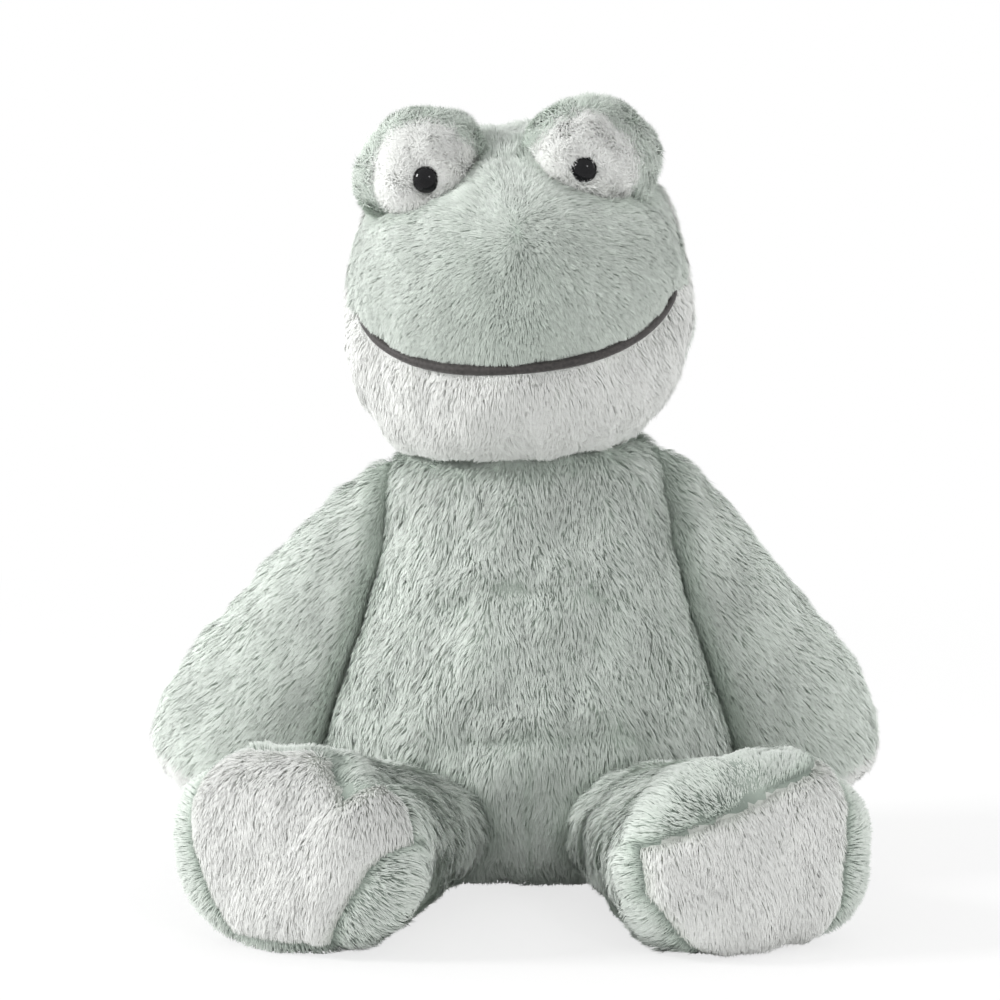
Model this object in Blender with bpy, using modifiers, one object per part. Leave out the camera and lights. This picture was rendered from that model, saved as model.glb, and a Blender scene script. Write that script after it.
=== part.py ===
"""A seated plush frog: sewn fabric skins over fibre filling, with bead eyes and a sewn smile.

The frog sits on Z = 0 and looks along -Y. Its left side is at +X. All sizes are in metres.
"""

from math import acos, atan2, copysign, cos, pi, radians, sin

import bmesh
import bpy
from mathutils import Matrix, Vector
from mathutils.bvhtree import BVHTree

# Fabric and clearances
FABRIC = 0.002
SEAM_GAP = 0.0003
FILLING_GAP = 0.0005
NECK_GAP = 0.0005
FLOOR_CUT = 0.0005
OVERRUN = 0.25

# Torso, a pear that is widest just above the seat
TORSO_HEIGHT = 0.155
TORSO_WIDTH = 0.142
TORSO_DEPTH = 0.118
TORSO_SHARES = (  # up, wide, deep, back
    (0.00, 0.00, 0.00, 0.00),
    (0.00, 0.60, 0.58, 0.01),
    (0.09, 0.95, 0.92, -0.01),
    (0.28, 1.02, 1.02, -0.04),
    (0.50, 0.85, 0.86, -0.02),
    (0.72, 0.70, 0.74, 0.00),
    (0.88, 0.67, 0.68, 0.01),
    (1.03, 0.46, 0.48, 0.01),
    (1.03, 0.00, 0.00, 0.00),
)
NECK_DOME_RADIUS = 0.074
NECK_HOLE_RADIUS = 0.020
POUCH_HEIGHT = 0.034
SEAT_WIDTH = 0.060
SEAT_DEPTH = 0.048
SEAT_FRONT = 0.003
SEAT_SIDES = 20
SEAT_SQUARENESS = 2.0

# Head, a wide bun whose front carries the muzzle
HEAD_HEIGHT = 0.108
HEAD_WIDTH = 0.112
HEAD_DEPTH = 0.102
HEAD_SINK = 0.0125
HEAD_FORWARD = 0.004
HEAD_SIDEWAYS = 0.0026
HEAD_ROLL_ANGLE = 4.0
HEAD_YAW_ANGLE = 3.5
HEAD_SHARES = (  # up, wide, deep, back, aside
    (0.00, 0.00, 0.00, -0.02, -0.050),
    (0.01, 0.57, 0.56, -0.03, -0.045),
    (0.13, 0.87, 0.86, -0.06, -0.032),
    (0.31, 0.97, 0.99, -0.08, -0.015),
    (0.50, 1.02, 1.03, -0.08, 0.00),
    (0.70, 0.94, 0.97, -0.06, 0.00),
    (0.87, 0.75, 0.68, -0.04, 0.00),
    (0.98, 0.44, 0.36, -0.01, 0.00),
    (1.00, 0.00, 0.00, 0.00, 0.00),
)

# Face panels: the muzzle ends below at the smile, cream cheeks and jaw lie round it
MUZZLE_WIDTH = 0.109
MUZZLE_HEIGHT = 0.064
MUZZLE_RISE = 0.0121
MUZZLE_SQUARENESS = 2.5
MUZZLE_BACK = 0.008
CHEEK_BACK = 0.002
CROWN_RISE = 0.0375
MOUTH_TRIM_RADIUS = 0.0019
MOUTH_TRIM_SINK = 0.0007
MOUTH_CORNER_RADIUS = 0.0010
MOUTH_REACH_SHARE = 0.96
MOUTH_STEPS = 24
MOUTH_RESOLUTION = 1
MOUTH_TAPER = 3

# Eye bumps: a green hood behind, a cream dome in front, a bead with a shank and a lock washer
EYE_SPREAD = 0.0520
EYE_RISE = 0.0424
EYE_FORWARD = 0.023
HOOD_WIDTH = 0.0395
HOOD_DEPTH = 0.036
HOOD_THICKNESS = 0.0034
HOOD_OUTWARD = 0.0006
HOOD_MOUTH = 0.004
DOME_DEPTH = 0.031
DOME_TUCK = 0.001
EYE_SHARES = (
    (0.00, 0.00, 0.00, 0.00),
    (0.04, 0.52, 0.52, 0.00),
    (0.26, 0.93, 0.93, 0.00),
    (0.50, 1.06, 1.06, 0.00),
    (0.74, 0.93, 0.93, 0.00),
    (0.96, 0.52, 0.52, 0.00),
    (1.00, 0.00, 0.00, 0.00),
)
BEAD_RADIUS = 0.0045
BEAD_HEIGHT = 0.0034
BEAD_SEAT = 0.0008
SHANK_RADIUS = 0.0015
SHANK_LENGTH = 0.0075
WASHER_RADIUS = 0.0052
WASHER_THICKNESS = 0.001
WASHER_DISH = 0.0013
WASHER_BORE_GAP = 0.0001

# Arms, floppy pouches that flare to the hands and lie along the torso
ARM_LENGTH = {"left": 0.138, "right": 0.139}
ARM_WIDTH = {"left": 0.049, "right": 0.053}
ARM_DEPTH = 0.029
ARM_SHARES = (
    (0.00, 0.00, 0.00, 0.00),
    (0.02, 0.50, 0.66, 0.00),
    (0.26, 0.76, 0.88, 0.00),
    (0.52, 0.92, 1.00, 0.00),
    (0.78, 1.05, 1.04, 0.00),
    (0.97, 0.86, 0.84, 0.00),
    (1.00, 0.00, 0.00, 0.00),
)
SHOULDER_RISE_SHARE = {"left": 0.93, "right": 0.90}
SHOULDER_SPREAD_SHARE = {"left": 0.43, "right": 0.43}
SHOULDER_PIVOT_RISE = 0.009
SHOULDER_PIVOT_OUT = 0.009
ARM_LEAN_ANGLE = {"left": 33.0, "right": 36.5}
ARM_SWING_ANGLE = 7.0
PALM_ALONG_SHARE = 0.85
PALM_DEPTH = 0.004
PALM_TIP_ANGLE = 48.0
PALM_EDGE_ANGLE = 12.0

# Legs, short cones that end in broad upright soles
LEG_LENGTH = 0.114
LEG_WIDTH = 0.085
LEG_DEPTH = 0.062
LEG_SHARES = (
    (0.00, 0.00, 0.00, 0.00),
    (0.04, 0.45, 0.47, 0.00),
    (0.35, 0.62, 0.67, 0.00),
    (0.62, 0.77, 0.81, 0.00),
    (0.84, 1.02, 1.03, 0.00),
    (1.00, 0.93, 0.93, 0.00),
    (1.00, 0.00, 0.00, 0.00),
)
HIP_SPREAD_SHARE = 0.38
HIP_FORWARD_SHARE = 0.30
HIP_RISE = 0.021
LEG_RISE_ANGLE = 4.5
HIP_PIVOT_RISE = 0.0006
HIP_PIVOT_INSET = 0.019
LEG_SPLAY_ANGLE = {"left": 23.5, "right": 27.5}
SOLE_SHARE = 0.945

# Facets: a form's outside has more sides than the lining and the filling inside it
RING_SIDES = {"torso": 12, "head": 12, "limb": 8, "eye": 8}
LINING_SIDES = {"torso": 8, "head": 12, "limb": 6}
SMOOTHING = 1
NECK_SIDES = 36
TURNED_STEPS = 16
BEAD_ARC_STEPS = 5
SIDE_SIGN = {"left": 1.0, "right": -1.0}

GREEN = (0.42, 0.51, 0.43)
CREAM = (0.76, 0.78, 0.74)
WHITE_FIBRE = (0.85, 0.85, 0.83)
BLACK = (0.006, 0.006, 0.007)
UMBER = (0.040, 0.034, 0.031)
CALICO = (0.70, 0.66, 0.56)


def clear_scene():
    for old in list(bpy.data.objects):
        bpy.data.objects.remove(old, do_unlink=True)


def new_collection(name):
    group = bpy.data.collections.new(name)
    bpy.context.scene.collection.children.link(group)
    return group


def material(name, colour, roughness, metallic=0.0):
    """A Principled material in one even colour."""
    mat = bpy.data.materials.new(name)
    mat.use_nodes = True
    shader = mat.node_tree.nodes["Principled BSDF"]
    shader.inputs["Base Color"].default_value = (*colour, 1.0)
    shader.inputs["Roughness"].default_value = roughness
    shader.inputs["Metallic"].default_value = metallic
    mat.diffuse_color = (*colour, 1.0)
    return mat


def add_mesh(name, bm, group, parent=None):
    """Turns a bmesh into an object of the group, under its parent's frame."""
    mesh = bpy.data.meshes.new(name)
    bm.to_mesh(mesh)
    bm.free()
    obj = bpy.data.objects.new(name, mesh)
    group.objects.link(obj)
    obj.parent = parent
    if group.name == "cutters":
        obj.hide_render = True
        obj.display_type = "WIRE"
    return obj


def frame(name, group, parent, place, turn=Matrix()):
    """An empty that carries the pieces of one limb or of the head."""
    empty = bpy.data.objects.new(name, None)
    group.objects.link(empty)
    empty.parent = parent
    empty.matrix_local = Matrix.Translation(place) @ turn.to_4x4()
    return empty


def rings_of(shares, length, width, depth):
    """Each ring's height, shifts back and aside, half width and half depth, from its shares."""
    return [
        (length * along, depth * back, width * sum(aside), width * wide / 2, depth * deep / 2)
        for along, wide, deep, back, *aside in shares
    ]


def pod(name, rings, sides, group, parent=None, inset=0.0):
    """A swelling form: a cage of rings about its own Z axis, moved in by inset and subdivided.

    Subdivision draws a ring in, so the cage stands out by as much. The cage starts a quarter
    of a step round, which keeps its corners off the middle plane.
    """
    bm = bmesh.new()
    last = len(rings) - 1
    swell = 3 / (2 + cos(2 * pi / sides))
    bmesh.ops.create_uvsphere(bm, u_segments=sides, v_segments=last, radius=1)
    for vert in bm.verts:
        ring = round(acos(max(-1, min(1, -vert.co.z))) / pi * last)
        around = atan2(vert.co.y, vert.co.x) + pi / 2 / sides
        height, back, aside, half_width, half_depth = rings[ring]
        across = aside + swell * half_width * cos(around)
        vert.co = (across, back + swell * half_depth * sin(around), height)
    bm.normal_update()
    moved = [vert.co - vert.normal * inset for vert in bm.verts]
    for vert, place in zip(bm.verts, moved):
        vert.co = place
    obj = add_mesh(name, bm, group, parent)
    smooth = obj.modifiers.new("smooth", "SUBSURF")
    smooth.levels = smooth.render_levels = SMOOTHING
    obj.data.shade_smooth()
    return obj


def cut(obj, tool, operation="DIFFERENCE"):
    """Cuts obj with tool, or keeps only what both share."""
    step = obj.modifiers.new(f"{operation.lower()} {tool.name}"[:60], "BOOLEAN")
    step.operation = operation
    step.object = tool
    step.solver = "EXACT"


def box(name, low, high, group, parent=None):
    """A cutter between two corners."""
    bm = bmesh.new()
    bmesh.ops.create_cube(bm, size=1)
    for vert in bm.verts:
        spot = [high[i] if vert.co[i] > 0 else low[i] for i in range(3)]
        vert.co = spot
    return add_mesh(name, bm, group, parent)


def prism(name, outline, run, group, parent=None):
    """A cutter: an outline of points, carried along the vector run."""
    bm = bmesh.new()
    bm.faces.new([bm.verts.new(point) for point in outline])
    made = bmesh.ops.extrude_face_region(bm, geom=bm.faces[:])
    far = [item for item in made["geom"] if isinstance(item, bmesh.types.BMVert)]
    bmesh.ops.translate(bm, verts=far, vec=run)
    bmesh.ops.recalc_face_normals(bm, faces=bm.faces[:])
    return add_mesh(name, bm, group, parent)


def turned(name, profile, steps, group, parent=None):
    """A turned piece: a profile in X and Z, swept round its Z axis."""
    bm = bmesh.new()
    verts = [bm.verts.new((radius, 0, height)) for radius, height in profile]
    for first, second in zip(verts, verts[1:]):
        bm.edges.new((first, second))
    if profile[0][0] and profile[-1][0]:
        bm.edges.new((verts[-1], verts[0]))
    obj = add_mesh(name, bm, group, parent)
    screw = obj.modifiers.new("turn", "SCREW")
    screw.steps = screw.render_steps = steps
    screw.use_merge_vertices = True
    screw.merge_threshold = SHANK_RADIUS / 100
    obj.data.shade_smooth()
    return obj


def tube(name, points, radii, group, parent):
    """A closed tube through points, as a mesh, thinner where its radii are."""
    curve = bpy.data.curves.new(name, "CURVE")
    curve.dimensions = "3D"
    curve.bevel_depth = 1
    curve.bevel_resolution = MOUTH_RESOLUTION
    curve.use_fill_caps = True
    spline = curve.splines.new("POLY")
    spline.points.add(len(points) - 1)
    for spot, place, radius in zip(spline.points, points, radii):
        spot.co = (*place, 1)
        spot.radius = radius
    source = bpy.data.objects.new(name + " path", curve)
    bpy.context.scene.collection.objects.link(source)
    bpy.context.view_layer.update()
    solid = source.evaluated_get(bpy.context.evaluated_depsgraph_get())
    bm = bmesh.new()
    bm.from_mesh(bpy.data.meshes.new_from_object(solid))
    bmesh.ops.remove_doubles(bm, verts=bm.verts[:], dist=MOUTH_CORNER_RADIUS / 100)
    bmesh.ops.recalc_face_normals(bm, faces=bm.faces[:])
    bpy.data.objects.remove(source)
    return add_mesh(name, bm, group, parent)


def superellipse(half_width, half_height, squareness, count):
    """Points round a rounded box, in X and Z."""
    for step in range(count):
        angle = 2 * pi * step / count
        across, up = cos(angle), sin(angle)
        yield (
            half_width * copysign(abs(across) ** (2 / squareness), across),
            half_height * copysign(abs(up) ** (2 / squareness), up),
        )


clear_scene()
frog = new_collection("plush_frog")
cutters = new_collection("cutters")
green_plush = material("green_plush", GREEN, 0.95)
cream_plush = material("cream_plush", CREAM, 0.95)
fibre = material("fibre_filling", WHITE_FIBRE, 1.0)
calico = material("calico_pouch", CALICO, 0.9)
trim_felt = material("smile_trim", UMBER, 0.55)
bead_gloss = material("bead_gloss", BLACK, 0.05)
washer_plastic = material("washer_plastic", WHITE_FIBRE, 0.4)

floor = box("floor", (-OVERRUN, -OVERRUN, -OVERRUN), (OVERRUN, OVERRUN, 0), cutters)


def finish(obj, mat):
    obj.data.materials.append(mat)


def make_torso():
    """Two side skins that meet down the middle, the filling and the seat's pouch of pellets."""
    rings = rings_of(TORSO_SHARES, TORSO_HEIGHT, TORSO_WIDTH, TORSO_DEPTH)
    base = frame("torso_frame", frog, None, (0, 0, 0))
    sides = RING_SIDES["torso"]
    lining = LINING_SIDES["torso"]
    settle(base, pod("torso_form", rings, sides, cutters, base))
    hollow = pod("torso_hollow", rings, lining, cutters, base, FABRIC)
    clearance = pod("torso_clearance", rings, sides, cutters, base, -SEAM_GAP)

    dome_centre = Vector((0, 0, TORSO_HEIGHT - NECK_DOME_RADIUS))

    def above_dome(name, depth):
        """What stands over the neck's dome, which lies the given depth below the head's socket."""
        above = box(
            name,
            (-OVERRUN, -OVERRUN, dome_centre.z),
            (OVERRUN, OVERRUN, OVERRUN),
            cutters,
        )
        cut(above, neck_ball(f"{name}_ball", dome_centre, NECK_DOME_RADIUS - depth))
        return above

    above_skin = above_dome("above_skin", NECK_GAP)
    cut(hollow, above_dome("above_lining", NECK_GAP + FABRIC))
    above_filling = above_dome("above_filling", NECK_GAP + FABRIC + FILLING_GAP)
    bm = bmesh.new()
    bmesh.ops.create_cone(
        bm,
        cap_ends=True,
        segments=NECK_SIDES // 2,
        radius1=NECK_HOLE_RADIUS,
        radius2=NECK_HOLE_RADIUS,
        depth=TORSO_HEIGHT,
    )
    bmesh.ops.translate(bm, verts=bm.verts[:], vec=(0, 0, TORSO_HEIGHT))
    hole = add_mesh("neck_hole", bm, cutters)

    def seat_prism(name, grow):
        """What lies within the seat's oval seam."""
        outline = [
            (x, z - SEAT_FRONT, -FABRIC)
            for x, z in superellipse(
                SEAT_WIDTH / 2 + grow, SEAT_DEPTH / 2 + grow, SEAT_SQUARENESS, SEAT_SIDES
            )
        ]
        return prism(name, outline, (0, 0, POUCH_HEIGHT / 2), cutters)

    seat = pod("seat_skin", rings, sides, frog, base)
    cut(seat, hollow)
    cut(seat, seat_prism("within_seat", 0), "INTERSECT")
    cut(seat, floor)
    finish(seat, green_plush)
    round_seat = seat_prism("round_seat", SEAM_GAP)
    for side, sign in SIDE_SIGN.items():
        skin = pod(f"torso_skin_{side}", rings, sides, frog, base)
        near, far = sorted((sign * SEAM_GAP / 2, sign * OVERRUN))
        half = box(
            f"{side}_half", (near, -OVERRUN, -OVERRUN), (far, OVERRUN, OVERRUN), cutters
        )
        cut(skin, above_skin)
        cut(skin, hollow)
        cut(skin, hole)
        cut(skin, round_seat)
        cut(skin, half, "INTERSECT")
        cut(skin, floor)
        finish(skin, green_plush)

    filling = pod("torso_filling", rings, lining, frog, base, FABRIC + FILLING_GAP)
    pouch = pod("bean_pouch", rings, lining, frog, base, FABRIC + FILLING_GAP)
    low = box(
        "below_pouch_top",
        (-OVERRUN, -OVERRUN, -OVERRUN),
        (OVERRUN, OVERRUN, POUCH_HEIGHT),
        cutters,
    )
    high = box(
        "above_pouch_top",
        (-OVERRUN, -OVERRUN, POUCH_HEIGHT - SEAM_GAP),
        (OVERRUN, OVERRUN, OVERRUN),
        cutters,
    )
    cut(filling, above_filling)
    cut(filling, low)
    cut(pouch, high)
    finish(filling, fibre)
    finish(pouch, calico)
    return clearance, dome_centre


def neck_ball(name, centre, radius):
    """The ball that the head's underside and the torso's top share, with their gap between."""
    bm = bmesh.new()
    bmesh.ops.create_uvsphere(
        bm, u_segments=NECK_SIDES, v_segments=NECK_SIDES // 2, radius=radius
    )
    bmesh.ops.translate(bm, verts=bm.verts[:], vec=centre)
    return add_mesh(name, bm, cutters)


def smile_points(form):
    """Where the muzzle's lower edge runs over the head, from corner to corner."""
    bpy.context.view_layer.update()
    surface = BVHTree.FromObject(form, bpy.context.evaluated_depsgraph_get())
    points = []
    for step in range(MOUTH_STEPS + 1):
        share = 2 * step / MOUTH_STEPS - 1
        across = sin(share * pi / 2) * MOUTH_REACH_SHARE
        drop = (1 - abs(across) ** MUZZLE_SQUARENESS) ** (1 / MUZZLE_SQUARENESS)
        start = Vector(
            (across * MUZZLE_WIDTH / 2, -OVERRUN, MUZZLE_RISE - drop * MUZZLE_HEIGHT / 2)
        )
        spot, normal = surface.ray_cast(start, Vector((0, 1, 0)))[:2]
        points.append(spot - normal * MOUTH_TRIM_SINK)
    return points


def make_head(dome_centre):
    """Muzzle, jaw and back skins, the smile between them, the filling and both eyes."""
    rings = [
        (height - HEAD_HEIGHT / 2, *others)
        for height, *others in rings_of(HEAD_SHARES, HEAD_HEIGHT, HEAD_WIDTH, HEAD_DEPTH)
    ]
    pivot = frame("neck_pivot", frog, None, dome_centre)
    lift = NECK_DOME_RADIUS + HEAD_HEIGHT / 2 - HEAD_SINK
    tilt = (
        Matrix.Rotation(radians(-HEAD_YAW_ANGLE), 3, "Z")
        @ Matrix.Rotation(radians(-HEAD_ROLL_ANGLE), 3, "Y")
    )
    base = frame("head_frame", frog, pivot, (-HEAD_SIDEWAYS, -HEAD_FORWARD, lift), tilt)
    sides = RING_SIDES["head"]
    form = pod("head_form", rings, sides, cutters, base)
    lining = LINING_SIDES["head"]
    hollow = pod("head_hollow", rings, lining, cutters, base, FABRIC)
    clearance = pod("head_clearance", rings, sides, cutters, base, -SEAM_GAP)
    socket = neck_ball("neck_socket", dome_centre, NECK_DOME_RADIUS)

    def muzzle_prism(name, grow):
        half_width = MUZZLE_WIDTH / 2 + grow
        half_height = MUZZLE_HEIGHT / 2 + grow
        outline = [
            (x, -MUZZLE_BACK + grow, z + MUZZLE_RISE)
            for x, z in superellipse(half_width, half_height, MUZZLE_SQUARENESS, 4 * MOUTH_STEPS)
        ]
        return prism(name, outline, (0, -OVERRUN, 0), cutters, base)

    def back_prism(name, grow):
        back, crown = -CHEEK_BACK - grow, CROWN_RISE - grow
        outline = [
            (-OVERRUN, y, z)
            for y, z in (
                (back, -OVERRUN),
                (back, crown),
                (-OVERRUN, crown),
                (-OVERRUN, OVERRUN),
                (OVERRUN, OVERRUN),
                (OVERRUN, -OVERRUN),
            )
        ]
        return prism(name, outline, (2 * OVERRUN, 0, 0), cutters, base)

    within_muzzle = muzzle_prism("within_muzzle", 0)
    round_muzzle = muzzle_prism("round_muzzle", SEAM_GAP)
    within_back = back_prism("within_back", 0)
    round_back = back_prism("round_back", SEAM_GAP)

    path = smile_points(form)
    shares = [abs(2 * step / MOUTH_STEPS - 1) for step in range(MOUTH_STEPS + 1)]
    radii = [
        MOUTH_CORNER_RADIUS + (MOUTH_TRIM_RADIUS - MOUTH_CORNER_RADIUS) * (1 - share**MOUTH_TAPER)
        for share in shares
    ]
    smile = tube("mouth_trim", path, radii, frog, base)
    groove = tube("mouth_groove", path, [r + SEAM_GAP for r in radii], cutters, base)
    finish(smile, trim_felt)

    panels = {
        "muzzle_skin": (((within_muzzle, "INTERSECT"),), green_plush),
        "jaw_skin": (((round_back, "DIFFERENCE"), (round_muzzle, "DIFFERENCE")), cream_plush),
        "head_back_skin": (((within_back, "INTERSECT"), (round_muzzle, "DIFFERENCE")), green_plush),
    }
    for name, (bounds, mat) in panels.items():
        skin = pod(name, rings, sides, frog, base)
        cut(skin, hollow)
        for tool, operation in bounds:
            cut(skin, tool, operation)
        cut(skin, socket)
        cut(skin, groove)
        finish(skin, mat)

    filling = pod("head_filling", rings, lining, frog, base, FABRIC + FILLING_GAP)
    cut(filling, socket)
    cut(filling, groove)
    finish(filling, fibre)
    for side, sign in SIDE_SIGN.items():
        make_eye(side, sign, base, clearance)


def make_eye(side, sign, head, head_clearance):
    """A hood, the dome that it cups, and the bead that a washer locks behind the dome."""
    place = (sign * EYE_SPREAD / 2, -EYE_FORWARD, EYE_RISE)
    base = frame(f"eye_frame_{side}", frog, head, place)
    shift = sign * HOOD_OUTWARD
    sides = RING_SIDES["eye"]

    def ball(name, width, depth, group, inset=0.0, across=0.0):
        rings = [
            (height - width / 2, *others)
            for height, *others in rings_of(EYE_SHARES, width, width, depth)
        ]
        made = pod(name, rings, sides, group, base, inset)
        made.location.x = across
        return made

    behind = box(
        f"behind_hood_mouth_{side}",
        (-OVERRUN, -HOOD_MOUTH, -OVERRUN),
        (OVERRUN, OVERRUN, OVERRUN),
        cutters,
        base,
    )
    ahead = box(
        f"ahead_of_tuck_{side}",
        (-OVERRUN, -OVERRUN, -OVERRUN),
        (OVERRUN, DOME_TUCK, OVERRUN),
        cutters,
        base,
    )
    hood = ball(f"eye_hood_{side}", HOOD_WIDTH, HOOD_DEPTH, frog, 0.0, shift)
    dome_width = HOOD_WIDTH - 2 * HOOD_THICKNESS
    cut(hood, ball(f"hood_hollow_{side}", dome_width, DOME_DEPTH, cutters, -SEAM_GAP))
    cut(hood, behind, "INTERSECT")
    cut(hood, head_clearance)
    finish(hood, green_plush)

    dome = ball(f"eye_dome_{side}", dome_width, DOME_DEPTH, frog)
    dome_hollow = ball(f"dome_hollow_{side}", dome_width, DOME_DEPTH, cutters, FABRIC)
    front = front_of(dome)
    seat = front + BEAD_SEAT
    shank_hole = turned_forward(
        f"shank_hole_{side}",
        (
            (0, OVERRUN),
            (BEAD_RADIUS + SEAM_GAP, OVERRUN),
            (BEAD_RADIUS + SEAM_GAP, 0),
            (SHANK_RADIUS + SEAM_GAP, 0),
            (SHANK_RADIUS + SEAM_GAP, -SHANK_LENGTH),
            (0, -SHANK_LENGTH),
        ),
        cutters,
        base,
        seat,
    )
    cut(dome, dome_hollow)
    cut(dome, ahead, "INTERSECT")
    cut(dome, shank_hole)
    cut(dome, head_clearance)
    finish(dome, cream_plush)

    bead = turned_forward(f"eye_bead_{side}", bead_profile(), frog, base, seat - SEAM_GAP)
    finish(bead, bead_gloss)

    washer_face = front + FABRIC + SEAM_GAP
    washer = turned_forward(f"eye_washer_{side}", washer_profile(), frog, base, washer_face)
    finish(washer, washer_plastic)

    filling = ball(f"eye_filling_{side}", dome_width, DOME_DEPTH, frog, FABRIC + SEAM_GAP)
    pocket = turned_forward(
        f"washer_pocket_{side}",
        (
            (0, OVERRUN),
            (WASHER_RADIUS + SEAM_GAP, OVERRUN),
            (WASHER_RADIUS + SEAM_GAP, -SHANK_LENGTH - SEAM_GAP),
            (0, -SHANK_LENGTH - SEAM_GAP),
        ),
        cutters,
        base,
        seat,
    )
    cut(filling, pocket)
    cut(filling, head_clearance)
    finish(filling, fibre)


def settle(base, form):
    """Lowers or lifts a frame until the floor flattens its form by the floor cut."""
    bpy.context.view_layer.update()
    solid = form.evaluated_get(bpy.context.evaluated_depsgraph_get())
    lowest = min((solid.matrix_world @ vert.co).z for vert in solid.data.vertices)
    base.location.z -= lowest + FLOOR_CUT
    bpy.context.view_layer.update()


def front_of(obj):
    """How far forward a form reaches, in its own frame."""
    bpy.context.view_layer.update()
    tree = BVHTree.FromObject(obj, bpy.context.evaluated_depsgraph_get())
    return tree.ray_cast(Vector((0, -OVERRUN, 0)), Vector((0, 1, 0)))[0].y


def turned_forward(name, profile, group, parent, depth):
    """A turned piece whose axis looks along -Y from the given depth."""
    obj = turned(name, profile, TURNED_STEPS, group, parent)
    obj.matrix_local = Matrix.Translation((0, depth, 0)) @ Matrix.Rotation(pi / 2, 4, "X")
    return obj


def bead_profile():
    """A low dome over a flat back, and a plain shank."""
    points = []
    for step in range(BEAD_ARC_STEPS):
        angle = pi / 2 * step / BEAD_ARC_STEPS
        points.append((BEAD_RADIUS * sin(angle), BEAD_HEIGHT * cos(angle)))
    points.append((BEAD_RADIUS, 0))
    points.append((SHANK_RADIUS, 0))
    points.append((SHANK_RADIUS, -SHANK_LENGTH + SEAM_GAP))
    points.append((0, -SHANK_LENGTH + SEAM_GAP))
    return points


def washer_profile():
    """A dished ring that presses on the fabric's inside at its rim."""
    bore = SHANK_RADIUS + WASHER_BORE_GAP
    return (
        (bore, -SEAM_GAP),
        (WASHER_RADIUS, -WASHER_DISH),
        (WASHER_RADIUS, -WASHER_DISH - WASHER_THICKNESS),
        (bore, -SEAM_GAP - WASHER_THICKNESS),
    )


def make_arm(side, sign, torso_clearance):
    """An arm's skin with its cream palm, and the filling, hung from the shoulder seam."""
    rings = rings_of(ARM_SHARES, ARM_LENGTH[side], ARM_WIDTH[side], ARM_DEPTH)
    root = Vector(
        (
            sign * TORSO_WIDTH / 2 * SHOULDER_SPREAD_SHARE[side],
            0,
            TORSO_HEIGHT * SHOULDER_RISE_SHARE[side],
        )
    )
    pivot_place = root + Vector((sign * SHOULDER_PIVOT_OUT, 0, SHOULDER_PIVOT_RISE))
    pivot = frame(f"shoulder_pivot_{side}", frog, None, pivot_place)
    hang = (
        Matrix.Rotation(radians(-ARM_SWING_ANGLE), 3, "X")
        @ Matrix.Rotation(radians(180 - sign * ARM_LEAN_ANGLE[side]), 3, "Y")
    )
    base = frame(f"arm_frame_{side}", frog, pivot, root - pivot_place, hang)
    sides = RING_SIDES["limb"]
    lining = LINING_SIDES["limb"]
    hollow = pod(f"arm_hollow_{side}", rings, lining, cutters, base, FABRIC)
    palm_turn = (
        Matrix.Rotation(radians(PALM_TIP_ANGLE), 4, "X")
        @ Matrix.Rotation(radians(-sign * PALM_EDGE_ANGLE), 4, "Z")
    )

    def palm_side(name, grow):
        """What lies on the palm's side of its seam."""
        made = box(
            name, (-OVERRUN, -grow, -OVERRUN), (OVERRUN, OVERRUN, OVERRUN), cutters, base
        )
        seam = Vector((0, PALM_DEPTH, ARM_LENGTH[side] * PALM_ALONG_SHARE))
        made.matrix_local = Matrix.Translation(seam) @ palm_turn
        return made

    skin = pod(f"arm_skin_{side}", rings, sides, frog, base)
    palm = pod(f"palm_{side}", rings, sides, frog, base)
    for panel in (skin, palm):
        cut(panel, hollow)
        cut(panel, torso_clearance)
    cut(skin, palm_side(f"round_palm_{side}", SEAM_GAP))
    cut(palm, palm_side(f"within_palm_{side}", 0), "INTERSECT")
    finish(skin, green_plush)
    finish(palm, cream_plush)

    filling = pod(f"arm_filling_{side}", rings, lining, frog, base, FABRIC + FILLING_GAP)
    cut(filling, torso_clearance)
    finish(filling, fibre)


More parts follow.
